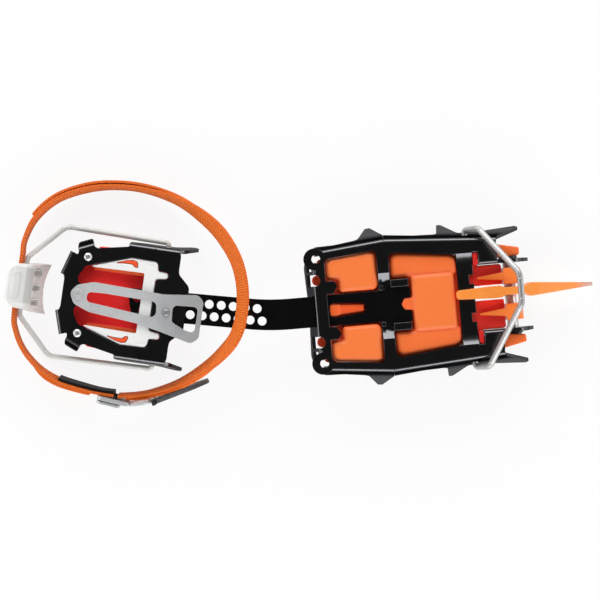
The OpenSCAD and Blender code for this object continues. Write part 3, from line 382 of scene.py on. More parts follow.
@dataclass(frozen=True)
class Moulding(Finish):
    """Flexible moulded plastic with a fine spark-eroded grain, its tone set by height, where the lower tones are
    painted shade.

    Attributes:
        tones: heights in millimetres, each with its colour; the darker or redder tones low down are painted shade.
        pale: the colour of clouds and, where no rim is given, of rubbed edges.
        edge_shade: the painted shade along edges.
        outer, behind: the colours of the low floor past outer_v and behind behind_u in the front section, painted
            shade where the floor lies deep.
        panel_shades: the lever's panels: start, end, half width and tone, in millimetres round its middle; the tones
            are painted shade.
        floor_z: the heights between which the low floor ends.
        blur: how soft an inlay's outline is, in millimetres.
    """

    tones: tuple[tuple[float, Colour], ...] = ()
    pale: Colour = (1.0, 0.35, 0.12)
    edge_shade: Colour | None = None
    outer: Colour | None = None
    behind: Colour | None = None
    panel_shades: tuple[tuple[float, float, float, Colour], ...] = ()
    floor_z: Span = (27.5 * MM, 28.5 * MM)
    behind_u: Span = (95 * MM, 96.5 * MM)
    outer_v: Span = (23.6 * MM, 24.3 * MM)
    blur: float = 0.4

    def body(self, s: Surface) -> "Sock | Colour":
        """The colour before rubs: one tone, or tones stacked by height in millimetres as painted shade."""
        if not self.tones:
            return self.colour
        low, high = self.tones[0][0], self.tones[-1][0]
        rise = (s.axis(s.place(), "Z") - low * MM) / ((high - low) * MM)
        stops = [((z - low) / (high - low), tone) for z, tone in self.tones]
        return s.node("ShaderNodeValToRGB", {"stops": stops}, {0: rise})

    def local(self, s: Surface, body: "Sock | Colour") -> "Sock | Colour":
        """Lays the painted shade that keeps to a place: the plate's low floor and the lever's darker panels.

        Args:
            s: the surface.
            body: the colour so far.

        Returns:
            The colour with them.
        """
        # painted shade: the front plate's low floor is coloured deeper, with the behind colour behind the bar and the
        # outer colour at its sides
        if self.behind and self.outer:
            station = s.place(turn=-FRONT_YAW, move=-FRONT_AT)
            low = 1.0 - s.axis(s.place(), "Z").between(*self.floor_z)
            body = s.mix(body, self.behind, (1.0 - s.axis(station, "X").between(*self.behind_u)) * low)
            body = s.mix(body, self.outer, s.axis(station, "Y").size().between(*self.outer_v) * low)
        # painted shade: the lever's panels take darker tones inside their outlines
        if self.panel_shades:
            panel = s.place(turn=-HEEL_YAW, move=-LEVER_AT)
            along, across = s.axis(panel, "X") / MM, s.axis(panel, "Y") / MM
            for start, end, half, tone in self.panel_shades:
                begun = along.between(start - self.blur, start + self.blur)
                ended = along.between(end - self.blur, end + self.blur)
                beside = across.size().between(half - 2 * self.blur, half)
                body = s.mix(body, tone, begun * (1.0 - ended) * (1.0 - beside))
        return body

    def paint(self, s: Surface) -> None:
        """Grain, faint clouds, painted shade by height and place, and a paler rub or a painted edge shade along
        edges.
        """
        where = s.place()
        grain = s.cells(where, 1500)
        cloud = s.noise(where, 70, 4)
        body = s.mix(self.local(s, self.body(s)), self.pale, cloud.between(0.5, 0.9) * 0.12)
        # painted shade: with a rim, the edges take its darker colour; without one, they take a paler rub of wear
        bend = s.edges(self.edge).between(0.02, 0.5)
        s.set(
            Base_Color=s.mix(body, self.edge_shade or self.pale, bend * (0.7 if self.edge_shade else 0.2)),
            Roughness=self.roughness + 0.14 * (cloud - 0.5) + 0.06 * (grain - 0.5),
            Specular_IOR_Level=0.35,
        )
        s.relief(grain, 0.02 * MM, 0.6)


@dataclass(frozen=True)
class DrawnWire(Finish):
    """Satin steel wire or sheet with fine lines along its working direction."""

    stretch: tuple[float, float, float] = (60, 1600, 1600)
    turn: float = 0.0
    dull: Colour = (0.4, 0.4, 0.4)
    metallic: float = 0.6
    shade_span: Span | None = None

    def paint(self, s: Surface) -> None:
        """Stretched lines in gloss and height, with faint stains and, when asked, a far end darkened as painted
        shade.
        """
        lines = s.noise(s.place(self.stretch, self.turn), 1.0, 3, 0.6)
        stain = s.noise(s.place(), 90, 4)
        dim = stain.between(0.45, 0.85) * 0.4 + lines.between(0.5, 0.9) * 0.25
        # painted shade: darker towards the far end along X
        if self.shade_span is not None:
            dim = dim + s.axis(s.place(), "X").between(*self.shade_span) * 0.7
        s.set(
            Base_Color=s.mix(self.colour, self.dull, dim),
            Metallic=self.metallic,
            Roughness=self.roughness + 0.22 * (lines - 0.5) + 0.1 * (stain - 0.5),
        )
        s.relief(lines, 0.008 * MM, 0.5)


@dataclass(frozen=True)
class PointCoat(Finish):
    """Orange coat on the forged point, worn to bare metal at its tip."""

    bare: Colour = (0.62, 0.36, 0.3)
    pale: Colour = (0.97, 0.4, 0.09)
    tip_x: Span = (188 * MM, 200 * MM)
    ragged: float = 6 * MM

    def paint(self, s: Surface) -> None:
        """Hammered coat, rubbed edges, and a ragged bare tip."""
        where = s.place()
        cloud = s.noise(where, 120, 4)
        grain = s.noise(where, 1800, 2)
        tip = (s.axis(where, "X") + self.ragged * (cloud - 0.5)).between(*self.tip_x)
        rub = (s.edges(self.edge) * 2.5 * cloud).between(0.2, 0.9) * 0.35
        body = s.mix(self.colour, self.pale, cloud.between(0.45, 0.85) * 0.3)
        s.set(
            Base_Color=s.mix(s.mix(body, self.bare, rub), self.bare, tip),
            Metallic=0.75 * tip,
            Roughness=self.roughness + 0.15 * (cloud - 0.5) + 0.05 * (grain - 0.5),
        )
        s.relief(grain + cloud, 0.015 * MM, 0.5)


@dataclass(frozen=True)
class Webbing(Finish):
    """Woven webbing on its own UV map: metres along it and across it."""

    hollow_shade: Colour = (0.55, 0.07, 0.01)
    thread: Colour = (0.98, 0.42, 0.1)
    rib: float = 1.7 * MM
    warp: float = 1.05 * MM
    half_width: float = 8 * MM
    sewn: tuple[Span, ...] = ()
    stitch: float = 2.4 * MM
    inset: float = 2.6 * MM

    def paint(self, s: Surface) -> None:
        """Weft ribs, warp crowns with painted shade in the hollows between them, a selvage along each edge darkened
        with the same colour, fuzz, and stitches where it is sewn.
        """
        uv = s.node("ShaderNodeUVMap", {"uv_map": "weave"})
        along, across = s.axis(uv, "X"), s.axis(uv, "Y")
        wander = s.noise(s.place(), 160, 2) - 0.5
        weft = 0.5 + 0.5 * ((along + 0.25 * MM * wander) * (math.tau / self.rib)).sine()
        swap = (along * (math.pi / self.rib)).sine().above(0.0) * math.pi
        warp = 0.5 + 0.5 * (across * (math.tau / self.warp) + swap).sine()
        crown = (0.65 * weft + 0.35 * warp * weft).between(0.05, 0.9)
        selvage = across.size().between(self.half_width - 1.1 * MM, self.half_width - 0.5 * MM)
        fuzz = s.noise(s.place(), 3200, 3)
        # painted shade: the hollows between the crowns, and each selvage, take the valley colour
        tone = s.mix(self.hollow_shade, self.colour, 0.4 + 0.6 * crown)
        tone = s.mix(tone, self.thread, crown * fuzz.between(0.5, 0.8) * 0.35)
        tone = s.mix(tone, self.hollow_shade, selvage * 0.35)
        height = crown + 0.25 * fuzz
        for start, end in self.sewn:
            zone = along.between(start - 0.1 * MM, start) * (1.0 - along.between(end, end + 0.1 * MM))
            for side in Side:
                row = (across - side.value * (self.half_width - self.inset)).size()
                dash = (along * (math.tau / self.stitch)).sine().above(-0.55)
                stitch = (1.0 - row.between(0.35 * MM, 0.55 * MM)) * dash * zone
                tone = s.mix(tone, self.thread, stitch * 0.9)
                height = height + stitch
        s.set(Base_Color=tone, Roughness=self.roughness + 0.15 * (fuzz - 0.5), Specular_IOR_Level=0.25)
        s.relief(height, 0.16 * MM, 0.9)


@dataclass(frozen=True)
class Rubbed(Finish):
    """Black moulded rubber or dark bolt with a dusty, scuffed face."""

    dust: Colour = (0.09, 0.09, 0.095)
    metallic: float = 0.0

    def paint(self, s: Surface) -> None:
        """Dust in clouds, pale scuffs along the edges and a fine grain."""
        where = s.place()
        cloud = s.noise(where, 130, 4)
        grain = s.noise(where, 2400, 2)
        scuff = (s.edges(self.edge) * 3.0 * cloud).between(0.1, 0.8)
        s.set(
            Base_Color=s.mix(self.colour, self.dust, cloud.between(0.45, 0.85) * 0.4 + scuff * 0.5),
            Roughness=self.roughness + 0.15 * (cloud - 0.5) + 0.08 * (grain - 0.5),
            Metallic=self.metallic,
        )
        s.relief(grain, 0.02 * MM, 0.6)


# the frame's rubbed edges are partly a painted highlight along the bends
BLACK_FRAME = CoatedSteel("black_coated_sheet", (0.115, 0.117, 0.123), 0.22, 0.6 * MM)
BLACK_BAR = CoatedSteel("black_coated_bar", (0.038, 0.039, 0.043), 0.3, 0.3 * MM, wear=0.4)
# painted shade: redder low down, along its edges and on its low floor
SNOW_PLATE = Moulding(
    "orange_snow_plate", (0.91, 0.22, 0.055), 0.44, 2.6 * MM,
    tones=(
        (26.0, (0.98, 0.032, 0.03)), (27.6, (0.96, 0.05, 0.026)),
        (29.2, (0.95, 0.1, 0.022)), (32.6, (0.91, 0.2, 0.046)),
    ),
    edge_shade=(0.94, 0.11, 0.024), outer=(0.93, 0.17, 0.035), behind=(0.93, 0.085, 0.025),
)
# painted shade: the heel's orange plate is red low down and orange higher up; the orange near the top is partly its
# strip's own colour
SHADED_RED_PLATE = Moulding(
    "snow_plate_shaded_red", (0.66, 0.022, 0.022), 0.4, 0.6 * MM,
    tones=(
        (24.0, (0.94, 0.026, 0.028)), (27.6, (0.94, 0.03, 0.028)),
        (28.4, (0.95, 0.14, 0.025)), (33.4, (0.9, 0.09, 0.02)),
    ),
    pale=(0.85, 0.13, 0.05),
)
NUB_PLATE = Moulding("red_clip_nub", (0.66, 0.022, 0.018), 0.38, 0.5 * MM, pale=(0.85, 0.1, 0.05))
# painted shade: darker and redder towards the bottom
SPACER_COAT = Moulding(
    "orange_spacer", (0.98, 0.225, 0.04), 0.4, 0.5 * MM,
    tones=((12.0, (0.75, 0.08, 0.02)), (24.0, (0.98, 0.225, 0.04))),
    pale=(0.97, 0.36, 0.12),
)
WHITE_PLATE = Moulding("white_guide_plate", (0.84, 0.84, 0.83), 0.38, 0.4 * MM, pale=(0.9, 0.9, 0.89))
# painted shade: greyer low down, grey along its edges (rim) and darker on its panels (inlays)
WHITE_LEVER = Moulding(
    "white_lever", (0.82, 0.825, 0.81), 0.36, 1.1 * MM,
    tones=((2.0, (0.6, 0.6, 0.59)), (9.0, (0.83, 0.835, 0.82))),
    pale=(0.88, 0.88, 0.87), edge_shade=(0.5, 0.52, 0.5),
    panel_shades=((-6.5, 0.5, 12.5, (0.73, 0.74, 0.72)), (0.5, 4.8, 12.5, (0.61, 0.62, 0.6))),
)
POINT_COAT = PointCoat("orange_point_coat", (0.95, 0.29, 0.045), 0.4, 0.5 * MM)
EVEN = (900, 900, 900)
TURNED = (900, 900, 90)
TOE_WIRE = DrawnWire("satin_toe_wire", (0.44, 0.44, 0.435), 0.38, 0.2 * MM, EVEN, dull=(0.34, 0.34, 0.335))
HEEL_WIRE = DrawnWire(
    "satin_heel_wire", (0.62, 0.615, 0.59), 0.5, 0.2 * MM, EVEN, dull=(0.5, 0.495, 0.475), metallic=0.15
)
BRIGHT_STEEL = DrawnWire(
    "bright_turned_steel", (0.74, 0.745, 0.75), 0.32, 0.3 * MM, TURNED, dull=(0.55, 0.555, 0.56)
)
# painted shade: the leaf darkens towards its far end (fade)
LEAF_STEEL = DrawnWire(
    "brushed_leaf_steel", (0.63, 0.645, 0.652), 0.42, 0.35 * MM, (55, 2600, 300), -HEEL_YAW,
    dull=(0.36, 0.37, 0.378), metallic=0.3, shade_span=(-115 * MM, -75 * MM),
)
BUCKLE_STEEL = DrawnWire(
    "satin_buckle_steel", (0.62, 0.63, 0.64), 0.4, 0.4 * MM, (60, 500, 500), 8.0, (0.5, 0.505, 0.51), 0.45
)
DULL_RIVET = DrawnWire(
    "dull_rivet", (0.46, 0.465, 0.47), 0.6, 0.2 * MM, (300, 300, 300), dull=(0.36, 0.365, 0.37), metallic=0.2
)
DULL_PIN = DrawnWire("dull_pin_steel", (0.3, 0.305, 0.31), 0.45, 0.3 * MM, TURNED, dull=(0.2, 0.205, 0.21))
BRASS = DrawnWire("turned_brass", (0.6, 0.42, 0.15), 0.3, 0.2 * MM, TURNED, dull=(0.4, 0.27, 0.1))
DARK_BOLT = Rubbed("dark_bolt", (0.035, 0.036, 0.04), 0.42, 0.4 * MM, (0.2, 0.2, 0.21), 0.5)
BLACK_TAB = Rubbed("grey_ribbed_tab", (0.075, 0.075, 0.08), 0.5, 0.4 * MM, (0.2, 0.2, 0.21))
ORANGE_WEB = Webbing("orange_webbing", (0.98, 0.225, 0.022), 0.75)
BLACK_WEB = Webbing(
    "black_webbing", (0.02, 0.021, 0.024), 0.75,
    hollow_shade=(0.006, 0.006, 0.007), thread=(0.05, 0.052, 0.056), rib=1.1 * MM, warp=0.9 * MM, half_width=6 * MM,
    sewn=((2 * MM, 12 * MM), (28 * MM, 38 * MM)),
)


class Make(Enum):
    """How a solid's mesh is softened before it is finished."""

    PLAIN = "plain"
    FOLDED = "folded"
    MOULDED = "moulded"


@dataclass(frozen=True)
class Softening:
    """A way to soften a mesh and its size: a corner radius, or the voxel of a moulding."""

    make: Make = Make.PLAIN
    size: float = 0.0
    relax: int = 0


def folded(radius: float) -> Softening:
    """Corners rounded by a radius in millimetres."""
    return Softening(Make.FOLDED, radius * MM)


def moulded(voxel: float, relax: int) -> Softening:
    """A skin of a voxel in millimetres, relaxed so many times."""
    return Softening(Make.MOULDED, voxel * MM, relax)


PLAIN = Softening()
Looks = dict[str, tuple[Finish, Softening]]


@dataclass
class Dresser:
    """Lays a finish on a solid: a smooth-shaded copy of its mesh stands for it.

    Attributes:
        smooth_deg: edges that bend more are shaded sharp.
        flat_deg: faces that bend less are joined before rounding.
        corner_deg: edges that bend more are rounded.
        join: points nearer to each other are one.
        speck: shorter edges are dropped.
        room_share: how many radii a face must reach from an edge that is rounded.
        parallel: how well the normals of a rounded and a sharp face agree for the two to be compared.
        turned: the doubled area from which a triangle counts as turned over.
        slant: a direction in which no two parts of a mesh lie level, to list them by.
    """

    smooth_deg: float = 33.0
    flat_deg: float = 0.5
    corner_deg: float = 30.0
    join: float = 2e-6
    speck: float = 1e-6
    room_share: float = 2.2
    parallel: float = 0.95
    turned: float = 1e-8
    slant: tuple[float, float, float] = (1.0, 1.618, 2.718)
    made: list[bpy.types.Object] = field(default_factory=list)
    materials: dict[str, bpy.types.Material] = field(default_factory=dict)

    def material(self, finish: Finish) -> bpy.types.Material:
        """The finish's material, made once."""
        if finish.name not in self.materials:
            self.materials[finish.name] = finish.make()
        return self.materials[finish.name]

    def dress(self, node: str, finish: Finish, soft: Softening) -> bpy.types.Object:
        """Copies a node's mesh, joins its loose triangles, softens it and gives it a finish.

        Args:
            node: the CAD node.
            finish: what it is finished in.
            soft: how its edges are softened.

        Returns:
            The new piece.
        """
        mesh = bpy.data.meshes.new(node + "_dressed")
        work = bmesh.new()
        work.from_mesh(frame["nodes"][node].data)
        self.clean(work)
        if soft.make is Make.FOLDED:
            work = self.round_edges(work, soft.size)
        for face in work.faces:
            face.smooth = True
        work.to_mesh(mesh)
        work.free()
        piece = bpy.data.objects.new(node + "_dressed", mesh)
        bpy.context.scene.collection.objects.link(piece)
        if soft.make is Make.MOULDED:
            remesh = piece.modifiers.new("skin", "REMESH")
            remesh.mode = "VOXEL"
            remesh.voxel_size = soft.size
            relax = piece.modifiers.new("relax", "SMOOTH")
            relax.iterations = soft.relax
            self.freeze(piece)
            piece.data.shade_smooth()
        else:
            mesh.set_sharp_from_angle(angle=math.radians(self.smooth_deg))
            weighted = piece.modifiers.new("weighted", "WEIGHTED_NORMAL")
            weighted.keep_sharp = True
            self.freeze(piece)
        piece.data.materials.clear()
        piece.data.materials.append(self.material(finish))
        self.settle(piece, node)
        return piece

    def clean(self, work: bmesh.types.BMesh) -> None:
        """Joins a mesh's doubles and drops its specks."""
        bmesh.ops.remove_doubles(work, verts=work.verts, dist=self.join)
        bmesh.ops.dissolve_degenerate(work, edges=work.edges, dist=self.speck)

    @staticmethod
    def freeze(piece: bpy.types.Object) -> None:
        """Turns a piece's modifiers into plain mesh."""
        seen = piece.evaluated_get(bpy.context.evaluated_depsgraph_get())
        mesh = bpy.data.meshes.new_from_object(seen)
        mesh.name = piece.name
        piece.modifiers.clear()
        piece.data = mesh

    def round_edges(self, work: bmesh.types.BMesh, radius: float) -> bmesh.types.BMesh:
        """Rounds the outer corners of a folded sheet, apart from those that would turn a face over.

        Args:
            work: the mesh, with its doubles joined; it is freed here.
            radius: the corners' radius.

        Returns:
            The rounded mesh.
        """
        bmesh.ops.dissolve_limit(work, angle_limit=math.radians(self.flat_deg), verts=work.verts, edges=work.edges)
        origin = work.faces.layers.int.new("origin")
        for elements in (work.faces, work.edges):
            elements.index_update()
            elements.ensure_lookup_table()
        for face in work.faces:
            face[origin] = face.index

        def room(edge: bmesh.types.BMEdge, face: bmesh.types.BMFace) -> bool:
            """Whether a face reaches far enough from one of its edges."""
            start, run = edge.verts[0].co, (edge.verts[1].co - edge.verts[0].co).normalized()
            return max((v.co - start).cross(run).length for v in face.verts) > self.room_share * radius

        corners = {
            edge.index
            for edge in work.edges
            if len(edge.link_faces) == 2
            and edge.is_convex
            and edge.calc_face_angle(0.0) > math.radians(self.corner_deg)
            and all(room(edge, face) for face in edge.link_faces)
        }
        reach = 2 * radius
        rounded = self.bevelled(work, corners, radius)
        while found := self.spoilt(rounded, work):
            for index, spots in found.items():
                corners -= {
                    edge.index
                    for vert in work.faces[index].verts
                    if any((vert.co - spot).length < reach for spot in spots)
                    for edge in vert.link_edges
                }
            reach *= 2
            rounded.free()
            rounded = self.bevelled(work, corners, radius)
        work.free()
        self.clean(rounded)
        bmesh.ops.recalc_face_normals(rounded, faces=rounded.faces)
        rounded.faces.layers.int.remove(rounded.faces.layers.int["origin"])
        self.list_parts(rounded)
        return rounded

    def list_parts(self, work: bmesh.types.BMesh) -> None:
        """Lists a mesh's parts by their places, because a bevel's own order can differ from run to run."""
        slant = Vector(self.slant)
        work.verts.sort(key=lambda vert: vert.co.dot(slant))
        work.edges.sort(key=lambda edge: (edge.verts[0].co + edge.verts[1].co).dot(slant))
        work.faces.sort(key=lambda face: face.calc_center_median().dot(slant))

    @staticmethod
    def bevelled(work: bmesh.types.BMesh, corners: set[int], radius: float) -> bmesh.types.BMesh:
        """Rounds a copy of a mesh.

        Args:
            work: the mesh, which stays sharp.
            corners: the numbers of the edges to round.
            radius: their radius.

        Returns:
            The rounded copy.
        """
        copy = work.copy()
        copy.edges.ensure_lookup_table()
        bmesh.ops.bevel(
            copy, geom=[copy.edges[index] for index in sorted(corners)], offset=radius, offset_type="OFFSET",
            affect="EDGES", segments=2, profile=0.5, clamp_overlap=False, material=-1,
        )
        return copy

    def spoilt(self, rounded: bmesh.types.BMesh, work: bmesh.types.BMesh) -> dict[int, list[Vector]]:
        """Finds the flat faces that rounding has turned over.

        Args:
            rounded: the rounded mesh.
            work: the sharp one, whose faces it numbers.

        Returns:
            The sharp faces' numbers, each with the places where its rounded outline crosses itself.
        """
        origin = rounded.faces.layers.int["origin"]
        rounded.normal_update()
        turned = set()
        for triangle in rounded.calc_loop_triangles():
            face = triangle[0].face
            up = work.faces[face[origin]].normal
            a, b, c = (loop.vert.co for loop in triangle)
            if abs(face.normal.dot(up)) > self.parallel and (b - a).cross(c - a).dot(up) < -self.turned:
                turned.add(face)
        found: dict[int, list[Vector]] = {}
        for face in turned:
            across = face.normal.orthogonal().normalized()
            along = face.normal.cross(across)
            sides = [
                tuple(Vector((vert.co.dot(across), vert.co.dot(along))) for vert in edge.verts) + (edge,)
                for edge in face.edges
            ]
            crossed = {
                edge
                for i, (a, b, first) in enumerate(sides)
                for c, d, second in sides[i + 1:]
                if not set(first.verts) & set(second.verts) and intersect_line_line_2d(a, b, c, d)
                for edge in (first, second)
            }
            places = [vert.co.copy() for edge in crossed for vert in edge.verts]
            found.setdefault(face[origin], []).extend(places or [vert.co.copy() for vert in face.verts])
        return found

    def settle(self, piece: bpy.types.Object, node: str, rides: bool = True) -> None:
        """Makes a piece ride on its node's body and stand for the node, whose mesh is hidden.

        Args:
            piece: the piece.
            node: the CAD node it stands for.
            rides: False to leave the piece on no body.
        """
        if rides:
            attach(piece, frame["nodes"][node]["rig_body"])
        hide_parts(node)
        self.made.append(piece)
        log.info("%s: %d faces", piece.name, len(piece.data.polygons))


@dataclass
class Band:
    """A flat band of webbing swept along part of a route, its top edge leaning out of the loop.

    Each route point holds its place in millimetres and its lean in degrees.
    """

    route: Sequence[tuple[float, float, float, float]]
    width: float
    thick: float
    span: Span | None = None
    offset: float = 0.0
    rise: float = 0.0
    sink: Span = (0.0, 0.0)
    sink_share: float = 0.3
    steps: int = 12
    sharp_deg: float = 60.0
    corner: Span = (0.3, 0.35)

    def samples(self) -> list[tuple[Vector, float, float]]:
        """The smooth middle line: place, lean in radians and share of the span."""
        last = len(self.route) - 1
        start, end = self.span or (0.0, float(last))
        count = max(2, round((end - start) * self.steps))
        line = []
        for n in range(count + 1):
            at = start + (end - start) * n / count
            i = min(int(at), last - 1)
            u = at - i
            near = [self.route[max(i - 1, 0)], self.route[i], self.route[i + 1], self.route[min(i + 2, last)]]
            x, y, z, lean = (
                0.5 * (2 * b + (c - a) * u + (2 * a - 5 * b + 4 * c - d) * u**2 + (3 * b - a - 3 * c + d) * u**3)
                for a, b, c, d in zip(*near)
            )
            line.append((Vector((x, y, z)) * MM, math.radians(lean), n / count))
        return line

    def points(self) -> list[Vector]:
        """The middle line's places."""
        return [place for place, _, _ in self.samples()]

    def section(self) -> list[tuple[float, float]]:
        """The band's section, across and through, with soft edges."""
        w, t = self.width / 2, self.thick / 2
        flat, flank = w - self.corner[0] * t, self.corner[1] * t
        half = [(-flat, -t), (-w / 2, -t), (0, -t), (w / 2, -t), (flat, -t), (w, -flank)]
        return half + [(-a, -b) for a, b in half]

    def frames(self) -> list[tuple[Vector, Vector, Vector]]:
        """Middle, across and through directions at each point."""
        line = self.samples()
        found = []
        for i, (p, lean, share) in enumerate(line):
            along = (line[min(i + 1, len(line) - 1)][0] - line[max(i - 1, 0)][0]).normalized()
            left = Vector((0, 0, 1)).cross(along).normalized()
            across = math.cos(lean) * along.cross(left) + math.sin(lean) * left
            through = across.cross(along)
            shift = self.offset + self.rise * math.sin(math.pi * share)
            for sink, way in zip(self.sink, (share, 1 - share)):
                shift -= sink * max(0.0, 1 - way / self.sink_share) ** 2
            found.append((p + shift * through, across, through))
        return found

    def build(self, name: str) -> bpy.types.Object:
        """Makes the band's mesh with a UV map in metres along and across it.

        Args:
            name: the piece's name.

        Returns:
            The piece.
        """
        line = self.points()
        section = self.section()
        count = len(section)
        reach = [0.0]
        for a, b in zip(line, line[1:]):
            reach.append(reach[-1] + (b - a).length)
        work = bmesh.new()
        uv = work.loops.layers.uv.new("weave")
        rings = [
            [work.verts.new(c + across * a + through * b) for a, b in section] for c, across, through in self.frames()
        ]
        for i in range(len(rings) - 1):
            for k in range(count):
                n = (k + 1) % count
                face = work.faces.new((rings[i][k], rings[i][n], rings[i + 1][n], rings[i + 1][k]))
                face.smooth = True
                for loop, (row, col) in zip(face.loops, ((i, k), (i, n), (i + 1, n), (i + 1, k))):
                    loop[uv].uv = (reach[row], section[col][0])
        for ring, place in ((rings[0][::-1], reach[0]), (rings[-1], reach[-1])):
            face = work.faces.new(ring)
            for loop in face.loops:
                loop[uv].uv = (place, 0.0)
        bmesh.ops.recalc_face_normals(work, faces=work.faces)
        mesh = bpy.data.meshes.new(name)
        work.to_mesh(mesh)
        work.free()
        mesh.set_sharp_from_angle(angle=math.radians(self.sharp_deg))
        piece = bpy.data.objects.new(name, mesh)
        bpy.context.scene.collection.objects.link(piece)
        return piece


@dataclass(frozen=True)
class Lap:
    """A second layer on part of the route: its stations, and its other sizes in millimetres."""

    start: float
    end: float
    rise: float
    sink: Span
    less: float


@dataclass
class AnkleStrap:
    """The webbing loop with its black keeper, lapped ends, buckle and pull tab.

    Each route point holds its place in millimetres and its lean as a share of full_lean.
    """

    dresser: Dresser
    width: float = 16 * MM
    thick: float = 1.8 * MM
    slip: float = 0.3 * MM
    lap_slip: float = 0.05 * MM
    full_lean: float = 28.0
    keeper_width: float = 12 * MM
    keeper_span: Span = (0.0, 3.0)
    laps: tuple[Lap, ...] = (
        Lap(10.0, 15.6, rise=0.9, sink=(0.0, 1.65), less=1.0),
        Lap(1.55, 4.2, rise=0.1, sink=(0.3, 1.65), less=1.0),
        Lap(22.4, 26.5, rise=0.55, sink=(1.65, 0.0), less=3.0),
    )
    finishes: Looks = field(
        default_factory=lambda: {
            "buckle_plate": (BUCKLE_STEEL, folded(0.2)),
            "buckle_loop": (BUCKLE_STEEL, PLAIN),
            "tab_collar": (DARK_BOLT, folded(0.2)),
            "pull_tab": (BLACK_TAB, folded(0.2)),
        }
    )
    tail: tuple[tuple[float, float, float, float], ...] = ((-127.7, -62.05, 10.4, 5.6), (-125.7, -62.6, 10.4, 5.6))
    route: tuple[tuple[float, float, float, float], ...] = (
        (-128, -62, 10.4, 0.2), (-138, -60.5, 10.2, 0.2), (-150, -57.5, 10, 0.27), (-167, -52, 10, 0.3),
        (-180, -43.5, 11, 0.16), (-190.3, -31, 13.5, 0.06), (-195.6, -17.6, 15.3, 0), (-196.47, -5.35, 15.7, 0),
        (-191.05, 32.27, 15.7, 0), (-189.4, 44.6, 15.2, 0), (-182, 60, 13, 0.14), (-167, 73, 11.2, 0.22),
        (-146, 80, 10.4, 0.26), (-126, 81.5, 10.4, 0.22), (-106, 79, 11, 0.28), (-84, 71.5, 14, 0.56),
        (-66, 60, 20, 1), (-52.5, 46.5, 29, 1.15), (-42.5, 29, 37.6, 1.03), (-38.5, 10, 40, 1), (-39.5, -8, 40.2, 1),
        (-43.5, -21, 38.8, 1.03), (-52, -32, 29.8, 1.03), (-65, -43, 21, 0.8), (-83, -53.5, 14, 0.46),
        (-101, -59.8, 11, 0.28), (-113, -62, 10.4, 0.22), (-125.4, -62.7, 10.4, 0.2),
    )

    def lean_route(self) -> list[tuple[float, float, float, float]]:
        """The route with its leans in degrees."""
        return [(x, y, z, share * self.full_lean) for x, y, z, share in self.route]

    def build(self) -> None:
        route = self.lean_route()
        band = Band(route, self.width, self.thick)
        strap = band.build("ankle_webbing")
        line = band.points()
        length = sum((b - a).length for a, b in zip(line, line[1:]))
        under = -self.thick - self.slip
        keeper = Band(route, self.keeper_width, self.thick, self.keeper_span, under).build("keeper_webbing")
        tail = Band(self.tail, self.keeper_width, self.thick).build("keeper_tail")
        laps = [
            Band(
                route, self.width - lap.less * MM, self.thick, (lap.start, lap.end), self.thick + self.lap_slip,
                lap.rise * MM, (lap.sink[0] * MM, lap.sink[1] * MM),
            ).build(f"webbing_lap_{k}")
            for k, lap in enumerate(self.laps)
        ]
        for piece in (strap, keeper, tail, *laps):
            piece.data.materials.append(self.dresser.material(BLACK_WEB if piece in (keeper, tail) else ORANGE_WEB))
            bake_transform(piece)
        self.dresser.settle(strap, "ankle_strap", rides=False)
        self.dresser.settle(keeper, "strap_keeper", rides=False)
        for piece in (tail, *laps):
            log.info("%s: %d faces", piece.name, len(piece.data.polygons))
        held = [keeper, tail, *laps, *(self.dresser.dress(node, *look) for node, look in self.finishes.items())]


@dataclass
class FrontSection:
    """The front frame with its plate, point, bail and bar.

    Attributes:
        swell_u: where the plate's swell starts and ends along the section, all in millimetres.
        swell_half: its half width at both.
        swell_rise: its rise before and after its step.
        swell_step: where the step starts and ends.
        swell_wall: the width of its walls.
        floor_z: the height over which the plate is raised.
    """

    dresser: Dresser
    finishes: Looks = field(
        default_factory=lambda: {
            "front_frame": (BLACK_FRAME, folded(0.3)),
            "front_antisnow": (SNOW_PLATE, moulded(0.62, 12)),
            "front_clip_nubs": (NUB_PLATE, moulded(0.3, 5)),
            "front_point": (POINT_COAT, moulded(0.4, 3)),
            "point_axle": (BRIGHT_STEEL, PLAIN),
            "axle_head": (DARK_BOLT, folded(0.25)),
            "axle_nut": (DARK_BOLT, folded(0.25)),
            "left_spacer": (SPACER_COAT, moulded(0.35, 4)),
            "right_spacer": (SPACER_COAT, moulded(0.35, 4)),
            "toe_bail": (TOE_WIRE, PLAIN),
            "linking_bar": (BLACK_BAR, folded(0.2)),
        }
    )
    swell_u: Span = (4.8, 29.5)
    swell_half: Span = (4.7, 2.9)
    swell_rise: Span = (3.9, 3.0)
    swell_step: Span = (11.9, 12.7)
    swell_wall: float = 0.6
    floor_z: float = 26.0

    def build(self) -> None:
        """Dresses each solid, then shapes the one that needs it."""
        pieces = {node: self.dresser.dress(node, *look) for node, look in self.finishes.items()}
        self.raise_swell(pieces["front_antisnow"])

    def raise_swell(self, piece: bpy.types.Object) -> None:
        """Raises the plate's floor to a low swell that stands clear in the bar's window.

        Args:
            piece: the dressed plate.
        """
        along, across = directions(FRONT_YAW)
        start, end = self.swell_u
        for vertex in piece.data.vertices:
            place = (vertex.co - FRONT_AT) / MM
            u, v = place.dot(along), abs(place.dot(across))
            half = self.swell_half[0] + (self.swell_half[1] - self.swell_half[0]) * share_of(u, start, end)
            inside = min(u - start, end - u, half - v)
            if inside > 0 and place.z > self.floor_z:
                drop = share_of(u, *self.swell_step)
                rise = self.swell_rise[0] + (self.swell_rise[1] - self.swell_rise[0]) * drop
                vertex.co.z += rise * share_of(inside, 0.0, self.swell_wall) * MM


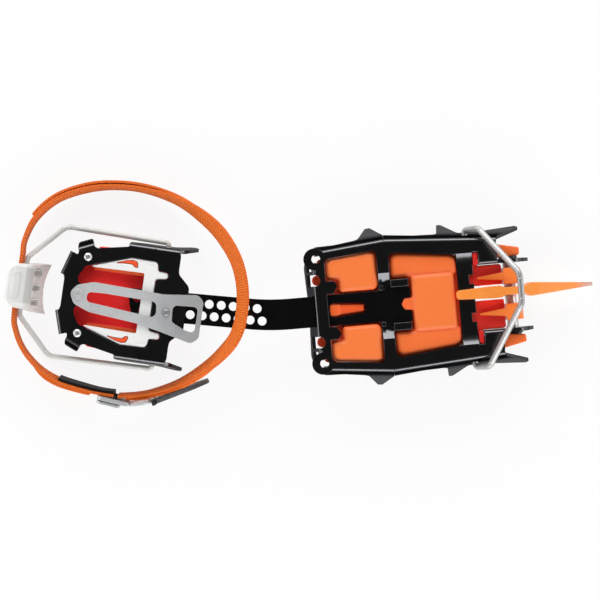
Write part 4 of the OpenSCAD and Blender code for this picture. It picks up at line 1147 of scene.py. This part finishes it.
@dataclass
class HeelSection:
    """The heel frame with its plates, sizing lock, bail and lever.

    Attributes:
        seam_u: where the spring's root ends along the section.
        seam_gap: the gap that is closed.
        lever_step: stations along the lever, each with its rise, in millimetres.
        lever_half: the half widths where the rise ends and where it is full, in millimetres.
        lever_up: the upward parts of the normal where the rise starts and where it is full.
    """

    dresser: Dresser
    seam_u: float = -46.15 * MM
    seam_gap: float = 0.2 * MM
    seam_slack: float = 0.05 * MM
    lever_step: tuple[Span, ...] = ((-7.0, 0.0), (0.5, 2.2), (6.0, -1.7), (14.0, 0.0))
    lever_half: Span = (14.5, 12.5)
    lever_up: Span = (0.25, 0.55)
    finishes: Looks = field(
        default_factory=lambda: {
            "heel_frame": (BLACK_FRAME, folded(0.3)),
            "heel_antisnow": (SHADED_RED_PLATE, moulded(0.45, 5)),
            "heel_guide_plate": (WHITE_PLATE, moulded(0.4, 3)),
            "heel_screws": (BRIGHT_STEEL, folded(0.15)),
            "screw_inserts": (BRASS, PLAIN),
            "spring_root": (LEAF_STEEL, PLAIN),
            "size_spring": (LEAF_STEEL, folded(0.15)),
            "spring_rivet": (DULL_RIVET, PLAIN),
            "size_pin": (DULL_PIN, PLAIN),
            "heel_bail": (HEEL_WIRE, PLAIN),
            "heel_lever": (WHITE_LEVER, moulded(0.4, 5)),
        }
    )

    def build(self) -> None:
        """Dresses each solid, then shapes the two that need it."""
        pieces = {node: self.dresser.dress(node, *look) for node, look in self.finishes.items()}
        self.close_seam(pieces["spring_root"])
        self.press_lever(pieces["heel_lever"])

    def close_seam(self, piece: bpy.types.Object) -> None:
        """Brings the riveted root up to the leaf, as one sheet of spring steel.

        Args:
            piece: the dressed root.
        """
        along, _ = directions(HEEL_YAW)
        for vertex in piece.data.vertices:
            if (vertex.co - HEEL_AT).dot(along) > self.seam_u - self.seam_slack:
                vertex.co += along * self.seam_gap

    def press_lever(self, piece: bpy.types.Object) -> None:
        """Presses a flatter thumb panel and a steeper drop to the pockets into the lever's upper side.

        Args:
            piece: the dressed lever.
        """
        along, across = directions(HEEL_YAW)
        rises = [share_of(vertex.normal.z, *self.lever_up) for vertex in piece.data.vertices]
        for vertex, rise in zip(piece.data.vertices, rises):
            place = (vertex.co - LEVER_AT) / MM
            u, v = place.dot(along), abs(place.dot(across))
            for (u0, f0), (u1, f1) in zip(self.lever_step, self.lever_step[1:]):
                if u0 <= u < u1:
                    push = f0 + (f1 - f0) * (u - u0) / (u1 - u0)
                    vertex.co.z += push * rise * share_of(v, *self.lever_half) * MM
                    break


@dataclass(frozen=True)
class Lamp:
    """A soft box: its place and size in metres, and its watts."""

    place: tuple[float, float, float]
    size: Span
    watts: float


@dataclass
class Studio:
    """Floor, lamps, world and camera."""

    sole_z: float = 34 * MM
    camera_up: float = 1.3
    view_mm: float = 408.0
    aim: Span = (0.34 * MM, 3.4 * MM)
    sensor_mm: float = 36.0
    floor_half: float = 3.0
    floor_drop: float = 0.4 * MM
    floor_glow: float = 0.88
    world_levels: Span = (0.4, 0.04)
    lamp_aim_z: float = 20 * MM
    lamps: tuple[Lamp, ...] = (
        Lamp((-0.1, 1.25, 0.62), (2.0, 0.9), 23.5),
        Lamp((0.1, -1.25, 0.62), (2.0, 0.9), 21.0),
        Lamp((-1.3, 0.0, 0.6), (0.9, 0.7), 5.0),
        Lamp((1.3, 0.0, 0.6), (0.9, 0.7), 5.0),
    )

    def camera(self) -> None:
        """Looks straight down from the photograph's height."""
        data = bpy.data.cameras.new("camera")
        data.sensor_width = self.sensor_mm
        data.lens = self.sensor_mm * self.camera_up / (self.view_mm * MM)
        eye = bpy.data.objects.new("camera", data)
        eye.location = (*self.aim, self.sole_z + self.camera_up)
        bpy.context.scene.collection.objects.link(eye)
        bpy.context.scene.camera = eye

    def floor(self) -> None:
        """A pale floor that reads white to the camera and keeps a faint shadow."""
        work = bmesh.new()
        bmesh.ops.create_grid(work, x_segments=2, y_segments=2, size=self.floor_half)
        mesh = bpy.data.meshes.new("floor")
        work.to_mesh(mesh)
        work.free()
        mesh.transform(Matrix.Translation((0, 0, -self.floor_drop)))
        plane = bpy.data.objects.new("floor", mesh)
        bpy.context.scene.collection.objects.link(plane)
        s = Surface("floor_white")
        s.set(Base_Color=(0.9, 0.9, 0.9), Roughness=0.8, Specular_IOR_Level=0.2)
        glow = s.node("ShaderNodeEmission", None, {"Color": (1, 1, 1), "Strength": 1.0})
        camera, glossy, passed = (
            s.node("ShaderNodeLightPath", out=f"Is {ray} Ray") for ray in ("Camera", "Glossy", "Transmission")
        )
        seen = (camera + glossy + passed) * self.floor_glow
        share = s.node("ShaderNodeMixShader", None, {0: seen, 1: Sock(s, s.shader.outputs[0]), 2: glow})
        s.plug(s.output.inputs[0], share)
        mesh.materials.append(s.material)

    def light(self) -> None:
        """A wide soft box on each side, so that the bends catch a line of light, and a world dim overhead."""
        for k, lamp in enumerate(self.lamps):
            data = bpy.data.lights.new(f"lamp_{k}", "AREA")
            data.shape = "RECTANGLE"
            data.size, data.size_y = lamp.size
            data.energy = lamp.watts
            box = bpy.data.objects.new(f"lamp_{k}", data)
            box.location = lamp.place
            view = Vector((0, 0, self.lamp_aim_z)) - Vector(lamp.place)
            box.rotation_euler = view.to_track_quat("-Z", "Y").to_euler()
            bpy.context.scene.collection.objects.link(box)
        sky = Sky("studio")
        height = sky.axis(sky.node("ShaderNodeTexCoord", out="Generated"), "Z")
        near, overhead = self.world_levels
        level = sky.node("ShaderNodeMapRange", None, {"Value": height, "To Min": near, "To Max": overhead})
        sky.set(Color=(1, 1, 1), Strength=level)
        bpy.context.scene.world = sky.world
        bpy.context.scene.view_settings.view_transform = "Standard"

    def build(self) -> None:
        """Sets the stage up."""
        self.camera()
        self.floor()
        self.light()


def main() -> None:
    """Builds the stage, the webbing and the two sections in order."""
    dresser = Dresser()
    Studio().build()
    AnkleStrap(dresser).build()
    FrontSection(dresser).build()
    HeelSection(dresser).build()
    log.info("%d pieces dressed", len(dresser.made))


if __name__ == "__main__":
    main()
